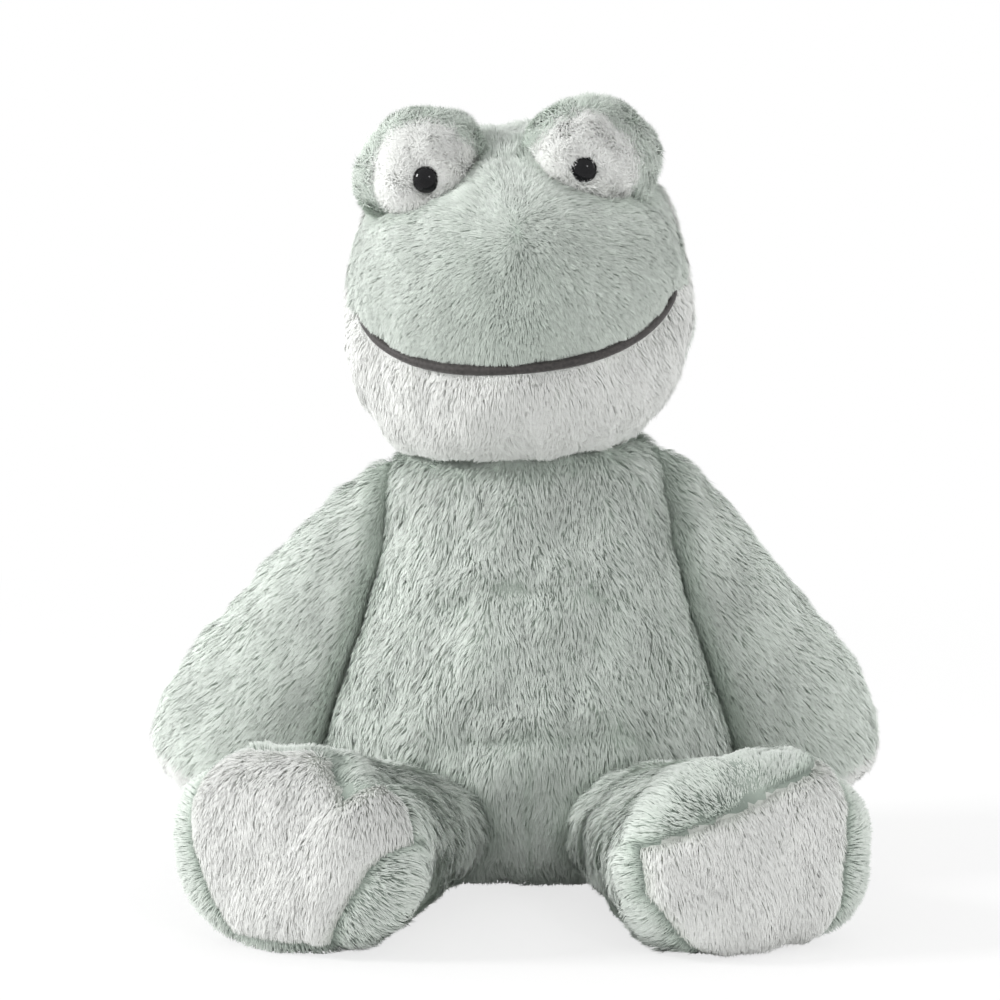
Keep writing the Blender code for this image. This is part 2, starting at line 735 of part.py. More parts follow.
def make_leg(side, sign, torso_clearance):
    """A leg's skin with its cream sole, and the filling, hung from the hip seam."""
    rings = rings_of(LEG_SHARES, LEG_LENGTH, LEG_WIDTH, LEG_DEPTH)
    root = Vector(
        (
            sign * TORSO_WIDTH / 2 * HIP_SPREAD_SHARE,
            -TORSO_DEPTH * HIP_FORWARD_SHARE,
            HIP_RISE,
        )
    )
    seam_y = -TORSO_DEPTH / 2 + HIP_PIVOT_INSET
    pivot_place = Vector((root.x, seam_y, HIP_PIVOT_RISE))
    pivot = frame(f"hip_pivot_{side}", frog, None, pivot_place)
    point = (
        Matrix.Rotation(radians(sign * LEG_SPLAY_ANGLE[side]), 3, "Z")
        @ Matrix.Rotation(radians(90 - LEG_RISE_ANGLE), 3, "X")
    )
    base = frame(f"leg_frame_{side}", frog, pivot, root - pivot_place, point)
    sides = RING_SIDES["limb"]
    settle(base, pod(f"leg_form_{side}", rings, sides, cutters, base))
    lining = LINING_SIDES["limb"]
    hollow = pod(f"leg_hollow_{side}", rings, lining, cutters, base, FABRIC)
    edge = LEG_LENGTH * SOLE_SHARE

    def sole_side(name, grow):
        return box(
            name, (-OVERRUN, -OVERRUN, edge - grow), (OVERRUN, OVERRUN, OVERRUN), cutters, base
        )

    skin = pod(f"leg_skin_{side}", rings, sides, frog, base)
    sole = pod(f"sole_{side}", rings, sides, frog, base)
    for panel in (skin, sole):
        cut(panel, hollow)
        cut(panel, floor)
    cut(skin, torso_clearance)
    cut(skin, sole_side(f"round_sole_{side}", SEAM_GAP))
    cut(sole, sole_side(f"within_sole_{side}", 0), "INTERSECT")
    finish(skin, green_plush)
    finish(sole, cream_plush)

    filling = pod(f"leg_filling_{side}", rings, lining, frog, base, FABRIC + FILLING_GAP)
    cut(filling, torso_clearance)
    finish(filling, fibre)


torso_clearance, dome_centre = make_torso()
make_head(dome_centre)
for side, sign in SIDE_SIGN.items():
    make_arm(side, sign, torso_clearance)
    make_leg(side, sign, torso_clearance)
bpy.context.view_layer.update()
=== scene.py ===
# %% [markdown]
# # A seated plush frog
# A soft toy is two things at once: sewn fabric forms that stuffing swells, and the pile that
# stands on them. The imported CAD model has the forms, their seams and their joints. This lesson
# dresses it: it softens each form, plants a combed pile on every panel, and adds the sewn smile,
# the bead eyes, the light and the camera.

# %% Load the frame
from math import cos, radians, sin, tau

import bmesh
import bpy
import numpy as np
from mathutils import Matrix, Vector, kdtree
from mathutils.bvhtree import BVHTree


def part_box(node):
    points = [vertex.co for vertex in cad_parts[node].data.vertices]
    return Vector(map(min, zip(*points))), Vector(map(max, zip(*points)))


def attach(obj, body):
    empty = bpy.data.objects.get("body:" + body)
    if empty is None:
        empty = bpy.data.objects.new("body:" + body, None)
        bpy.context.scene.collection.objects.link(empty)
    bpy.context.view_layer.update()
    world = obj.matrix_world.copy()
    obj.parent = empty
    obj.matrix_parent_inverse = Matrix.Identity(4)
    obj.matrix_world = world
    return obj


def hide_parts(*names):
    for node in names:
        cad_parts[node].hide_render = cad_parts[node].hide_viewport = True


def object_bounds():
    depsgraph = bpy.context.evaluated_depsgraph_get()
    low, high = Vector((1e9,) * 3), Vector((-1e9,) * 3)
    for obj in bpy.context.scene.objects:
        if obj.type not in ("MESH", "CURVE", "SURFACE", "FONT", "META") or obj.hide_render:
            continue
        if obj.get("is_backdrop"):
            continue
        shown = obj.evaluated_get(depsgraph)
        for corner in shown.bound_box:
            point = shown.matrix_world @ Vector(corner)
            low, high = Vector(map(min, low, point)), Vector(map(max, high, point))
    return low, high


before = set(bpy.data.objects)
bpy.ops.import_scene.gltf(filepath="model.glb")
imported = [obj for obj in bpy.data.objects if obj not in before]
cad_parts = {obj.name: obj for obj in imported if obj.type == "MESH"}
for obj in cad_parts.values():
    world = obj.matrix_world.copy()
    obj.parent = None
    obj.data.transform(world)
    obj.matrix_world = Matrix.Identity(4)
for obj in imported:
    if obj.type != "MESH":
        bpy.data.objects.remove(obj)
cad_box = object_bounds()
SIDES = {"left": 1.0, "right": -1.0}
MILLIMETRE = 0.001


def placed(name, data):
    """An object of the scene that holds this data."""
    obj = bpy.data.objects.new(name, data)
    bpy.context.scene.collection.objects.link(obj)
    return obj


def mesh_from(name, bm):
    """A mesh of this form, which isn't needed afterwards."""
    mesh = bpy.data.meshes.new(name)
    bm.to_mesh(mesh)
    bm.free()
    return mesh


# %% [markdown]
# ## Camera
# The photograph looks a little down on the frog through a long lens, so its lines hardly
# converge. A camera 1.5 m away with a frame 0.34 m wide at the frog gives the same view.

# %% Stand the camera
ELEVATION = radians(7.5)
DISTANCE = 1.5
FRAME_WIDTH = 0.34
AIM = Vector((-0.0095, 0.0, 0.1258))
SENSOR = 36.0

backwards = Vector((0, -cos(ELEVATION), sin(ELEVATION)))
camera = bpy.data.cameras.new("camera")
camera.sensor_width = SENSOR
camera.lens = SENSOR * DISTANCE / FRAME_WIDTH
camera_stand = placed("camera", camera)
camera_stand.location = AIM + backwards * DISTANCE
camera_stand.rotation_euler = backwards.to_track_quat("Z", "Y").to_euler()
bpy.context.scene.camera = camera_stand
print("lens", round(camera.lens), "mm")

# %% [markdown]
# ## Writing materials as sums
# A pattern is easier to read as an expression than as a list of nodes. A thread wraps one
# socket, and adding or multiplying threads adds the Math node that does it. Every other node
# comes from one method that takes its type, its settings and what goes into its sockets.

# %% A thread, a tree and a recipe
class Thread:
    """One socket of a node tree, which can stand in a sum of values."""

    def __init__(self, tree, socket):
        self.tree, self.socket = tree, socket

    def _math(self, operation, first, second):
        return self.tree.node("ShaderNodeMath", {"operation": operation}, {0: first, 1: second})

    def __add__(self, other):
        return self._math("ADD", self, other)

    def __mul__(self, other):
        return self._math("MULTIPLY", self, other)

    __radd__, __rmul__ = __add__, __mul__


OBJECT_SPACE = 3  # the output of the Texture Coordinate node
SEEN_RAYS = 0, 3, 6  # outputs of the Light Path node: camera, glossy and transmission rays
BUMP_STRENGTH = 0.6


class Tree:
    """A node tree, and the ways to add to it."""

    def __init__(self, tree):
        self.tree = tree

    def node(self, kind, settings=None, inputs=None, output=0):
        """Adds a node: settings first, then the values or threads of its sockets."""
        made = self.tree.nodes.new(kind)
        for setting, value in (settings or {}).items():
            if setting == "stops":
                ramp = made.color_ramp
                for place, colour in value[len(ramp.elements) :]:
                    ramp.elements.new(place)
                for element, (place, colour) in zip(ramp.elements, value):
                    element.position = place
                    element.color = (*colour, 1)
            else:
                setattr(made, setting, value)
        for socket, value in (inputs or {}).items():
            self.put(made.inputs[socket], value)
        return Thread(self, made.outputs[output])

    def put(self, socket, value):
        if isinstance(value, Thread):
            self.tree.links.new(value.socket, socket)
        else:
            socket.default_value = value

    def seen_rays(self):
        """1 for a ray that shows something in the picture, straight, in a gloss or through a gap."""
        camera_ray, glossy_ray, through_ray = (
            self.node("ShaderNodeLightPath", None, None, output) for output in SEEN_RAYS
        )
        return camera_ray + glossy_ray + through_ray


class Recipe(Tree):
    """A material, with its Principled shader ready to be fed."""

    def __init__(self, name, **constants):
        self.material = bpy.data.materials.new(name)
        self.material.use_nodes = True
        super().__init__(self.material.node_tree)
        self.shader = self.tree.nodes["Principled BSDF"]
        for socket, value in constants.items():
            self.shader.inputs[socket.replace("_", " ")].default_value = value

    def feed(self, **inputs):
        """Links threads to sockets of the shader."""
        for socket, value in inputs.items():
            self.put(self.shader.inputs[socket.replace("_", " ")], value)
        return self.material

    def scaled(self, colour, amount):
        """A colour times a value."""
        return self.node("ShaderNodeVectorMath", {"operation": "SCALE"}, {0: colour, "Scale": amount})

    def bump(self, height, distance):
        sockets = {"Height": height, "Distance": distance, "Strength": BUMP_STRENGTH}
        return self.node("ShaderNodeBump", None, sockets)

    def noise(self, scale, detail=2.0):
        """Noise in the object's own space."""
        spot = self.node("ShaderNodeTexCoord", None, None, OBJECT_SPACE)
        return self.node("ShaderNodeTexNoise", None, {"Vector": spot, "Scale": scale, "Detail": detail})

    def ramp(self, value, *stops):
        """The colour that a value has on a ramp with these stops."""
        return self.node("ShaderNodeValToRGB", {"stops": stops}, {0: value})


# %% [markdown]
# ## The pile's colour
# Frosted fur fabric is dyed darker at the root and bleached at the tip, and no two fibres are
# quite alike. Each tuft keeps its own place in the UV map: V runs from root to tip, and U says
# how light the tuft is. One ramp along V and one factor along U then colour the whole pile, and
# a bake of the map keeps both.

# %% Mix the two furs
PILE_MAP = "OFBake"
TONES = 64
STRIPES = 3
FIBRE_CONTRAST = 0.18


def fur(name, dark, light, *stops):
    """A pile whose colour runs along V and whose lightness runs along U."""
    recipe = Recipe(name, Roughness=0.9, Sheen_Weight=0.15, Sheen_Roughness=0.5)
    spot = recipe.node("ShaderNodeUVMap", {"uv_map": PILE_MAP})
    tone = recipe.node("ShaderNodeSeparateXYZ", None, {0: spot}, 0)
    along = recipe.node("ShaderNodeSeparateXYZ", None, {0: spot}, 1)
    stretched = recipe.node(
        "ShaderNodeVectorMath", {"operation": "MULTIPLY"}, {0: spot, 1: (TONES * STRIPES, 3, 1)}
    )
    fibres = recipe.node(
        "ShaderNodeTexNoise",
        {"noise_dimensions": "2D"},
        {"Vector": stretched, "Scale": 1.0, "Detail": 0.0},
    )
    streaks = 1 - FIBRE_CONTRAST / 2 + fibres * FIBRE_CONTRAST
    lightness = (dark + tone * (light - dark)) * streaks
    return recipe.feed(Base_Color=recipe.scaled(recipe.ramp(along, *stops), lightness))


# each ramp's first stop, darker than any root, mostly serves shade painted into creases, seams and
# ledges
FURS = {
    "green_plush": fur(
        "green_fur",
        0.84,
        1.14,
        (0.0, (0.140, 0.180, 0.150)),
        (0.30, (0.560, 0.632, 0.566)),
        (0.65, (0.692, 0.750, 0.692)),
        (1.0, (0.798, 0.836, 0.796)),
    ),
    "cream_plush": fur(
        "cream_fur",
        0.92,
        1.09,
        (0.0, (0.400, 0.430, 0.385)),
        (0.30, (0.780, 0.800, 0.762)),
        (0.65, (0.838, 0.850, 0.822)),
        (1.0, (0.876, 0.884, 0.866)),
    ),
}
print("furs:", ", ".join(FURS))

# %% [markdown]
# ## Softened forms
# The CAD skins are faceted shells with a seam gap between them. A stuffed toy has neither: its
# fabric is one swollen surface that changes colour at a seam. So the skins and the filling of
# each form are gathered, a voxel remesh closes the seams and gives even faces, and smoothing
# rounds the facets away. The faces are then shared out between the panels again, each to the
# CAD skin that is nearest, and on the feet by the outline that the sole has in the photograph.

# %% Gather, remesh and smooth a form
WELD = 1e-5
SMOOTHING_ROUNDS = 6


def gathered(name, nodes):
    """An object with copies of these CAD nodes' meshes."""
    bm = bmesh.new()
    for node in nodes:
        bm.from_mesh(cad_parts[node].data)
    bmesh.ops.remove_doubles(bm, verts=bm.verts[:], dist=WELD)
    return placed(name, mesh_from(name, bm))


def softened(name, nodes, voxel):
    """One even, rounded, closed mesh round these nodes, resting on the floor where they do."""
    rough = gathered(name, nodes)
    remesh = rough.modifiers.new("even", "REMESH")
    remesh.mode = "VOXEL"
    remesh.voxel_size = voxel
    bpy.context.view_layer.update()
    even = rough.evaluated_get(bpy.context.evaluated_depsgraph_get())
    bm = bmesh.new()
    bm.from_mesh(even.data)
    bpy.data.objects.remove(rough)
    low = min(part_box(node)[0].z for node in nodes)
    for _ in range(SMOOTHING_ROUNDS):
        bmesh.ops.smooth_vert(
            bm, verts=bm.verts[:], factor=0.5, use_axis_x=True, use_axis_y=True, use_axis_z=True
        )
    for vert in bm.verts:
        vert.co.z = max(vert.co.z, low)
    bm.normal_update()
    return bm


FORMS = {
    "torso": (("torso_skin_left", "torso_skin_right", "seat_skin"), ("torso_filling", "bean_pouch")),
    "head": (("muzzle_skin", "jaw_skin", "head_back_skin"), ("head_filling",)),
}
for side in SIDES:
    FORMS[f"eye_{side}"] = ((f"eye_hood_{side}", f"eye_dome_{side}"), (f"eye_filling_{side}",))
    FORMS[f"arm_{side}"] = ((f"arm_skin_{side}", f"palm_{side}"), (f"arm_filling_{side}",))
    FORMS[f"leg_{side}"] = ((f"leg_skin_{side}", f"sole_{side}"), (f"leg_filling_{side}",))

# %% [markdown]
# ## Sculpted forms
# A stuffed toy isn't as even as its pattern. The filling bulges and sags a little everywhere, the
# feet have corners and dips where the sole is sewn to the leg, and the seam pulls a groove round
# each sole. Across the belly the nap breaks into ledges, where fur hangs over the fur below.

# %% Waves and directions
def unit(vectors):
    return vectors / np.maximum(np.linalg.norm(vectors, axis=-1, keepdims=True), 1e-9)


def waves(points, length, seed, count=7):
    """A smooth field over space from a few crossing waves, from about -1 to 1."""
    dice = np.random.default_rng(seed)
    total = np.zeros(len(points))
    for _ in range(count):
        direction = dice.normal(size=3)
        direction *= tau / length / np.linalg.norm(direction) * dice.uniform(0.6, 1.5)
        total += np.sin(points @ direction + dice.uniform(0, tau))
    return total / np.sqrt(count)


# %% Where the head and the limbs point
HEAD_CENTRE = Vector((-0.0026, -0.004, 0.1965))
HEAD_TURN = Matrix.Rotation(radians(-3.5), 3, "Z") @ Matrix.Rotation(radians(-4.0), 3, "Y")
EYE_PLACE = Vector((0.026, -0.023, 0.0424))
ARM_LEANS = {"left": 33.0, "right": 36.5}
ARM_SWING = 7.0
LEG_SPLAYS = {"left": 23.5, "right": 27.5}
LEG_RISE = 4.5
LEG_ROOT = Vector((0.027, -0.0354, 0.027))
LEG_LENGTH = 0.114
WHORL = np.array([0.004, 0, 0.021])


def head_place(x, y, z):
    return HEAD_CENTRE + HEAD_TURN @ Vector((x, y, z))


def in_head(points):
    """Points in the head's own axes, from its middle."""
    return (points - np.array(HEAD_CENTRE)) @ np.array(HEAD_TURN)


def from_head(vectors):
    return vectors @ np.array(HEAD_TURN).T


BEAD_RADIUS, BEAD_HEIGHT, BEAD_EDGE = 0.0045, 0.0034, 0.0004
EYE_AXIS = HEAD_TURN @ Vector((0, -1, 0))
eye_centres, arm_axes, leg_axes = {}, {}, {}
for side, sign in SIDES.items():
    eye_centres[side] = head_place(sign * EYE_PLACE.x, EYE_PLACE.y, EYE_PLACE.z)
    hang = Matrix.Rotation(radians(-ARM_SWING), 3, "X") @ Matrix.Rotation(
        radians(180 - sign * ARM_LEANS[side]), 3, "Y"
    )
    arm_axes[side] = hang @ Vector((0, 0, 1))
    point = Matrix.Rotation(radians(sign * LEG_SPLAYS[side]), 3, "Z") @ Matrix.Rotation(
        radians(90 - LEG_RISE), 3, "X"
    )
    leg_axes[side] = point @ Vector((0, 0, 1))
    print(side, "arm", tuple(round(c, 2) for c in arm_axes[side]))

# %% Find the smile
RING_REACH = 0.003


def smile_line():
    """The middle line of the CAD trim: its rings, walked from one corner of the mouth."""
    bm = bmesh.new()
    bm.from_mesh(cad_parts["mouth_trim"].data)
    bmesh.ops.remove_doubles(bm, verts=bm.verts[:], dist=WELD)
    corner = min(bm.verts, key=lambda v: v.co.x)
    ring = {v for v in bm.verts if (v.co - corner.co).length < RING_REACH}
    middles, walked = [], set()
    while ring:
        middles.append(sum((v.co for v in ring), Vector()) / len(ring))
        walked |= ring
        ring = {e.other_vert(v) for v in ring for e in v.link_edges} - walked
    bm.free()
    return middles


smile = smile_line()
print("smile:", len(smile), "rings from", smile[0].to_tuple(3), "to", smile[-1].to_tuple(3))


def drawn_smile(radius, corner_radius, outward):
    """A smooth tube along the smile, thinner at the corners, moved out from the head."""
    curve = bpy.data.curves.new("smile_path", "CURVE")
    curve.dimensions = "3D"
    curve.bevel_depth = 1
    curve.bevel_resolution = 4
    curve.resolution_u = 8
    curve.use_fill_caps = True
    spline = curve.splines.new("BEZIER")
    spline.bezier_points.add(len(smile) - 1)
    for index, spot in enumerate(smile):
        share = abs(2 * index / (len(smile) - 1) - 1)
        away = Vector((spot.x - HEAD_CENTRE.x, spot.y - HEAD_CENTRE.y, 0)).normalized()
        point = spline.bezier_points[index]
        point.co = spot + away * outward
        point.handle_left_type = point.handle_right_type = "AUTO"
        point.radius = corner_radius + (radius - corner_radius) * (1 - share**4)
    path = placed("smile_path", curve)
    bpy.context.view_layer.update()
    solid = path.evaluated_get(bpy.context.evaluated_depsgraph_get())
    bm = bmesh.new()
    bm.from_mesh(bpy.data.meshes.new_from_object(solid))
    bpy.data.objects.remove(path)
    bmesh.ops.remove_doubles(bm, verts=bm.verts[:], dist=WELD)
    bmesh.ops.recalc_face_normals(bm, faces=bm.faces[:])
    return bm


SMILE_RADIUS = 0.0018
SMILE_CORNER_RADIUS = 0.0007
SMILE_OUTWARD = 0.0012
cord_form = drawn_smile(SMILE_RADIUS, SMILE_CORNER_RADIUS, SMILE_OUTWARD)
cord_tree = BVHTree.FromBMesh(cord_form)


# %% Measure along and round a leg
FOOT_DROP = 0.0053  # how far the foot's middle lies under the leg's axis


def from_leg_axis(points, side):
    """How far along the leg each point is, as a share, and its offset from the leg's axis."""
    root = LEG_ROOT.copy()
    root.x *= SIDES[side]
    axis = np.array(leg_axes[side])
    offset = points - np.array(root)
    along = offset @ axis
    return along / LEG_LENGTH, offset - along[:, None] * axis


def round_leg(points, side):
    """Where each point is along the leg, and how far outwards and upwards of the foot's middle."""
    along, offset = from_leg_axis(points, side)
    axis = leg_axes[side]
    outwards = axis.cross(Vector((0, 0, 1))).normalized() * -SIDES[side]
    upwards = axis.cross(outwards) * SIDES[side]
    return along, offset @ np.array(outwards), offset @ np.array(upwards) + FOOT_DROP


# %% The feet's corners
FOOT_START, FOOT_SPAN = 0.45, 0.4  # as shares of the leg's length
FOOT_HALF_WIDTH, FOOT_HALF_HEIGHT = 0.040, 0.0296
# angle from outwards over upwards, spread, push in millimetres
FOOT_CORNERS = {
    "right": ((50, 20, 3.2), (22, 15, 3.2), (153, 15, 4.0), (135, 8, -1.2)),
    "left": ((46, 24, 3.4), (-38, 24, 2.6), (98, 24, -1.2), (-146, 20, 3.0)),
}


def foot_corners(points, side):
    """For each corner or dip of a foot: how far it stands out, and from 0 to 1 where it does."""
    along, aside, above = round_leg(points, side)
    angle = np.degrees(np.arctan2(above, aside))
    foot = np.clip((along - FOOT_START) / FOOT_SPAN, 0, 1)
    for middle, spread, out in FOOT_CORNERS[side]:
        turn = (angle - middle + 180) % 360 - 180
        yield out * MILLIMETRE, foot * np.exp(-((turn / spread) ** 2))


def foot_dips(points, side):
    """From 0 to 1 where the foot dips."""
    return sum(here for out, here in foot_corners(points, side) if out < 0)


# %% The breaks in the belly's nap
NAP_WANDER, NAP_WANDER_LENGTH = 0.0016, 0.014
NAP_PRESENCE, NAP_PATCHINESS, NAP_PATCH_LENGTH = 0.7, 0.5, 0.016
NAP_BREAKS = (  # height, middle, bow, half length: where the nap of the belly parts
    (0.1065, 0.004, 6.0, 0.034),
    (0.0590, 0.012, 2.5, 0.030),
)


def nap_breaks(points):
    """For each break in the belly's nap: how far above it a point is, and how much it counts."""
    x, z = points[:, 0], points[:, 2]
    for height, middle, bow, reach in NAP_BREAKS:
        above = z - height + bow * (x - middle) ** 2
        above += NAP_WANDER * waves(points, NAP_WANDER_LENGTH, 57)
        here = (points[:, 1] < 0) * np.exp(-(((x - middle) / reach) ** 4))
        patches = NAP_PRESENCE + NAP_PATCHINESS * waves(points, NAP_PATCH_LENGTH, 59)
        yield above, here * np.clip(patches, 0, 1)


def hump(distance, middle, reach):
    """1 at this distance, and falling off to 0 on both sides of it."""
    return np.exp(-(((distance - middle) / reach) ** 2))


# %% Distances from the cord and the beads
def near_smile(roots):
    """How far each root is from the cord."""
    return np.array([cord_tree.find_nearest(Vector(root))[3] for root in roots])


def off_axis(roots, side):
    """How far each root is from the axis of the bead."""
    axis = np.array(EYE_AXIS)
    offset = roots - np.array(eye_centres[side])
    return np.linalg.norm(offset - (offset @ axis)[:, None] * axis, axis=1)


# %% [markdown]
# The sole is a flat panel with an outline of its own, which the photograph shows well. Its corners
# are given as seen from the front of the foot, and a seam runs along them.

# %% The soles' outlines
def within(outline, x, y):
    """Whether each point lies in an outline: a line from it meets an odd number of its sides."""
    met = np.zeros(len(x), bool)
    for (ax, ay), (bx, by) in zip(outline, outline[1:] + outline[:1]):
        crossed = (ay > y) != (by > y)
        met ^= crossed & (x < ax + (y - ay) * (bx - ax) / (by - ay or 1))
    return met


# corners in millimetres outwards and upwards of the foot's middle
SOLES = {
    "right": (
        ((30, 17), (30, 3), (24, -10), (17, -24), (-17, -25), (-33, 3), (-44, 11), (-44, 24))
        + ((-29, 26), (-23, 20), (-5, 36), (24, 34))
    ),
    "left": (
        ((-38, 7), (-37, -7), (-27, -21), (-16, -29), (21, -29), (27, -15), (28, -3), (31, 15))
        + ((28, 30), (9, 23), (-1, 19), (-23, 12))
    ),
}
SOLE_START, SEAM_MARGIN = 0.885, 0.05  # as shares of the leg's length


def on_sole(points, side):
    """Whether each point of a leg lies on its sole, and how far it is from the sole's seam."""
    along, aside, above = round_leg(points, side)
    x, y = aside / MILLIMETRE, above / MILLIMETRE
    outline = SOLES[side]
    nearest = np.full(len(points), np.inf)
    for (ax, ay), (bx, by) in zip(outline, outline[1:] + outline[:1]):
        wide, high = bx - ax, by - ay
        share = np.clip(((x - ax) * wide + (y - ay) * high) / (wide**2 + high**2), 0, 1)
        nearest = np.minimum(nearest, np.hypot(x - ax - share * wide, y - ay - share * high))
    seam = np.where(along > SOLE_START - SEAM_MARGIN, nearest * MILLIMETRE, 1.0)
    return within(outline, x, y) & (along > SOLE_START), seam


# %% Push the forms about
LUMP, LUMP_LENGTH = 0.0008, 0.032
DIMPLE, DIMPLE_LENGTH = 0.0004, 0.012
LEDGE_OUT, LEDGE_IN = 0.0016, 0.0010
LIP, HOLLOW = (0.003, 0.004), (-0.003, 0.003)  # how far above a break, and how wide
GROOVE, GROOVE_WIDTH = 0.0012, 0.0024
JOWL, JOWL_REACH = (-0.054, -0.038), 0.014
SMILE_BARE, BEAD_BARE = 0.007, 0.004


def near_jowl(points):
    """From 0 to 1 at the head's lower right corner, where the fur is short and lies close."""
    x, _, z = in_head(points).T
    return np.exp(-((x - JOWL[0]) ** 2 + (z - JOWL[1]) ** 2) / JOWL_REACH**2)


def bare(name, points):
    """From 0 beside the cord and the beads, where the fabric stays down, to 1 away from them."""
    if name == "head":
        return np.clip(near_smile(points) / SMILE_BARE, 0, 1) * (1 - near_jowl(points))
    if name.startswith("eye"):
        return np.clip((off_axis(points, name[4:]) - BEAD_RADIUS) / BEAD_BARE, 0, 1)
    return np.ones(len(points))


def push(name, points):
    """How far each point of a form is moved out along its normal."""
    amount = LUMP * waves(points, LUMP_LENGTH, 51) + DIMPLE * waves(points, DIMPLE_LENGTH, 52)
    if name == "torso":
        for above, here in nap_breaks(points):
            amount += LEDGE_OUT * here * hump(above, *LIP)
            amount -= LEDGE_IN * here * hump(above, *HOLLOW)
    if name.startswith("leg"):
        side = name[4:]
        _, aside, above = round_leg(points, side)
        edge = np.clip(np.hypot(aside / FOOT_HALF_WIDTH, above / FOOT_HALF_HEIGHT), 0, 1)
        for out, here in foot_corners(points, side):
            amount += out * edge * here
        amount -= GROOVE * hump(on_sole(points, side)[1], 0, GROOVE_WIDTH)
    return amount


# %% Soften every form
VOXEL, EYE_VOXEL = 0.003, 0.0016
forms = {}
for name, (skins, insides) in FORMS.items():
    voxel = EYE_VOXEL if name.startswith("eye") else VOXEL
    forms[name] = softened(name, skins + insides, voxel)
    print(name, "form:", len(forms[name].faces), "faces")

# %% [markdown]
# ## Where the pile has room
# Fur that is pressed between an arm and the body lies flat, and fur in the open stands up. A ray
# from each point of a form along its normal says how far the next form is, and the pile there is
# kept lower than that. The gap to the nearest form, whichever way it lies, sets where the fur is
# worn short and where shade is painted into the creases.

# %% Trees of the other forms
REACH = 0.014
RAY_START = 1e-4
trees = {}


def plant_trees():
    trees.update({name: BVHTree.FromBMesh(bm) for name, bm in forms.items()})


def gap_at(name, spot):
    """How far the nearest other form is, whichever way it lies."""
    gap = REACH
    for other, tree in trees.items():
        if other != name:
            hit = tree.find_nearest(spot, gap)
            if hit[0]:
                gap = hit[3]
    return gap


def room_at(name, spot, normal):
    """How far a point of a form can see along its normal before another form stops it."""
    room = REACH
    for other, tree in trees.items():
        if other != name:
            hit = tree.ray_cast(spot + normal * RAY_START, normal, room)
            if hit[0]:
                room = min(room, hit[3])
    return room


SKIN_CLEARANCE = 0.0003


def kept_out(name, points, near):
    """Moves points that lie in another form back to its surface."""
    for index in np.flatnonzero(near):
        spot = Vector(points[index])
        for other, tree in trees.items():
            if other == name:
                continue
            place, normal, _, _ = tree.find_nearest(spot, REACH)
            if place and (spot - place).dot(normal) < SKIN_CLEARANCE:
                points[index] = place + normal * SKIN_CLEARANCE
    return points


# %% [markdown]
# The pushes may not drive one form into the next, so each uses only part of the gap. All forms
# also swell by the height of the short fur next to the skin, except beside the cord and the beads.

# %% Push within the gaps
UNDERCOAT = 0.0020
GAP_SHARE = 0.35
plant_trees()
for name, form in forms.items():
    places = np.array([v.co for v in form.verts])
    gaps = np.array([gap_at(name, v.co) for v in form.verts])
    out = push(name, places) + UNDERCOAT * bare(name, places)
    out = np.minimum(out, gaps * GAP_SHARE)
    print(f"{name}: pushed {min(out) / MILLIMETRE:.1f} to {max(out) / MILLIMETRE:.1f} mm")
    ground = places[:, 2].min()
    places += np.array([v.normal for v in form.verts]) * out[:, None]
    places[:, 2] = np.maximum(places[:, 2], ground)
    for vert, place in zip(form.verts, places):
        vert.co = place
    form.normal_update()
plant_trees()

# %% [markdown]
# ## A tuft
# At this scale the eye sees tufts of fibres and not the fibres, so the pile is made of slender
# blades. One blade is modelled: a strip of two faces that ends in a point. It is then repeated
# with its own root, lean, length, roll and place in the colour map.

# %% Model one blade
SEGMENTS = 2
blade = bmesh.new()
bmesh.ops.create_grid(blade, x_segments=1, y_segments=SEGMENTS, size=1)
tip = [v for v in blade.verts if v.co.y > 0.9]
bmesh.ops.pointmerge(blade, verts=tip, merge_co=(0, 1, 0))
blade.verts.index_update()
blade_ring = np.array([round((v.co.y + 1) / 2 * SEGMENTS) for v in blade.verts])
blade_side = np.array([v.co.x for v in blade.verts])
blade_faces = [[v.index for v in face.verts] for face in blade.faces]
WIDTH_SHARES = np.array([0.8, 1.0, 0.0])
print("a tuft has", len(blade_faces), "faces and", len(blade.verts), "corners")

# %% [markdown]
# Combing gives each tuft a direction over the surface. It leans out of the fabric, bends over
# and ends nearly flat. Tufts near one another are drawn together at their tips, which gives the
# pile its small locks, with thin partings between them that show the darker roots.

# %% Bend tufts and draw them together
ROOT_DEPTH = 0.0004  # how deep a blade starts under the fabric
LOCK_CURVE = 1.4
rng = np.random.default_rng(7)


def tuft_lines(roots, normals, flows, lengths, leans):
    """The points of each tuft's middle line, bending from the fabric to the comb's direction."""
    lines = [roots - normals * ROOT_DEPTH]
    for lean in leans:
        step = flows * np.cos(lean)[:, None] + normals * np.sin(lean)[:, None]
        lines.append(lines[-1] + step * (lengths / SEGMENTS)[:, None])
    return np.stack(lines, 1)


def lock_leaders(roots, tufts_per_lock):
    """For each tuft, the tuft that leads its lock."""
    count = max(1, int(len(roots) / tufts_per_lock))
    leaders = rng.choice(len(roots), count, replace=False)
    tree = kdtree.KDTree(count)
    for index, leader in enumerate(leaders):
        tree.insert(roots[leader], index)
    tree.balance()
    return leaders[[tree.find(root)[1] for root in roots]]


def locked(lines, own, pull):
    """Draws tufts together towards the tips of their locks."""
    share = (np.arange(SEGMENTS + 1) / SEGMENTS) ** LOCK_CURVE
    return lines + (lines[own] - lines) * (share[None, :, None] * pull[:, None, None])


# %% Build the blades along the lines
FLOOR_GAP = 0.0002
ROOT_SHADE = 0.3  # where the lowest part that shows stands on the colour ramp
COLUMN_SHARE = 0.42  # half of the part of a tone's column that a blade spans


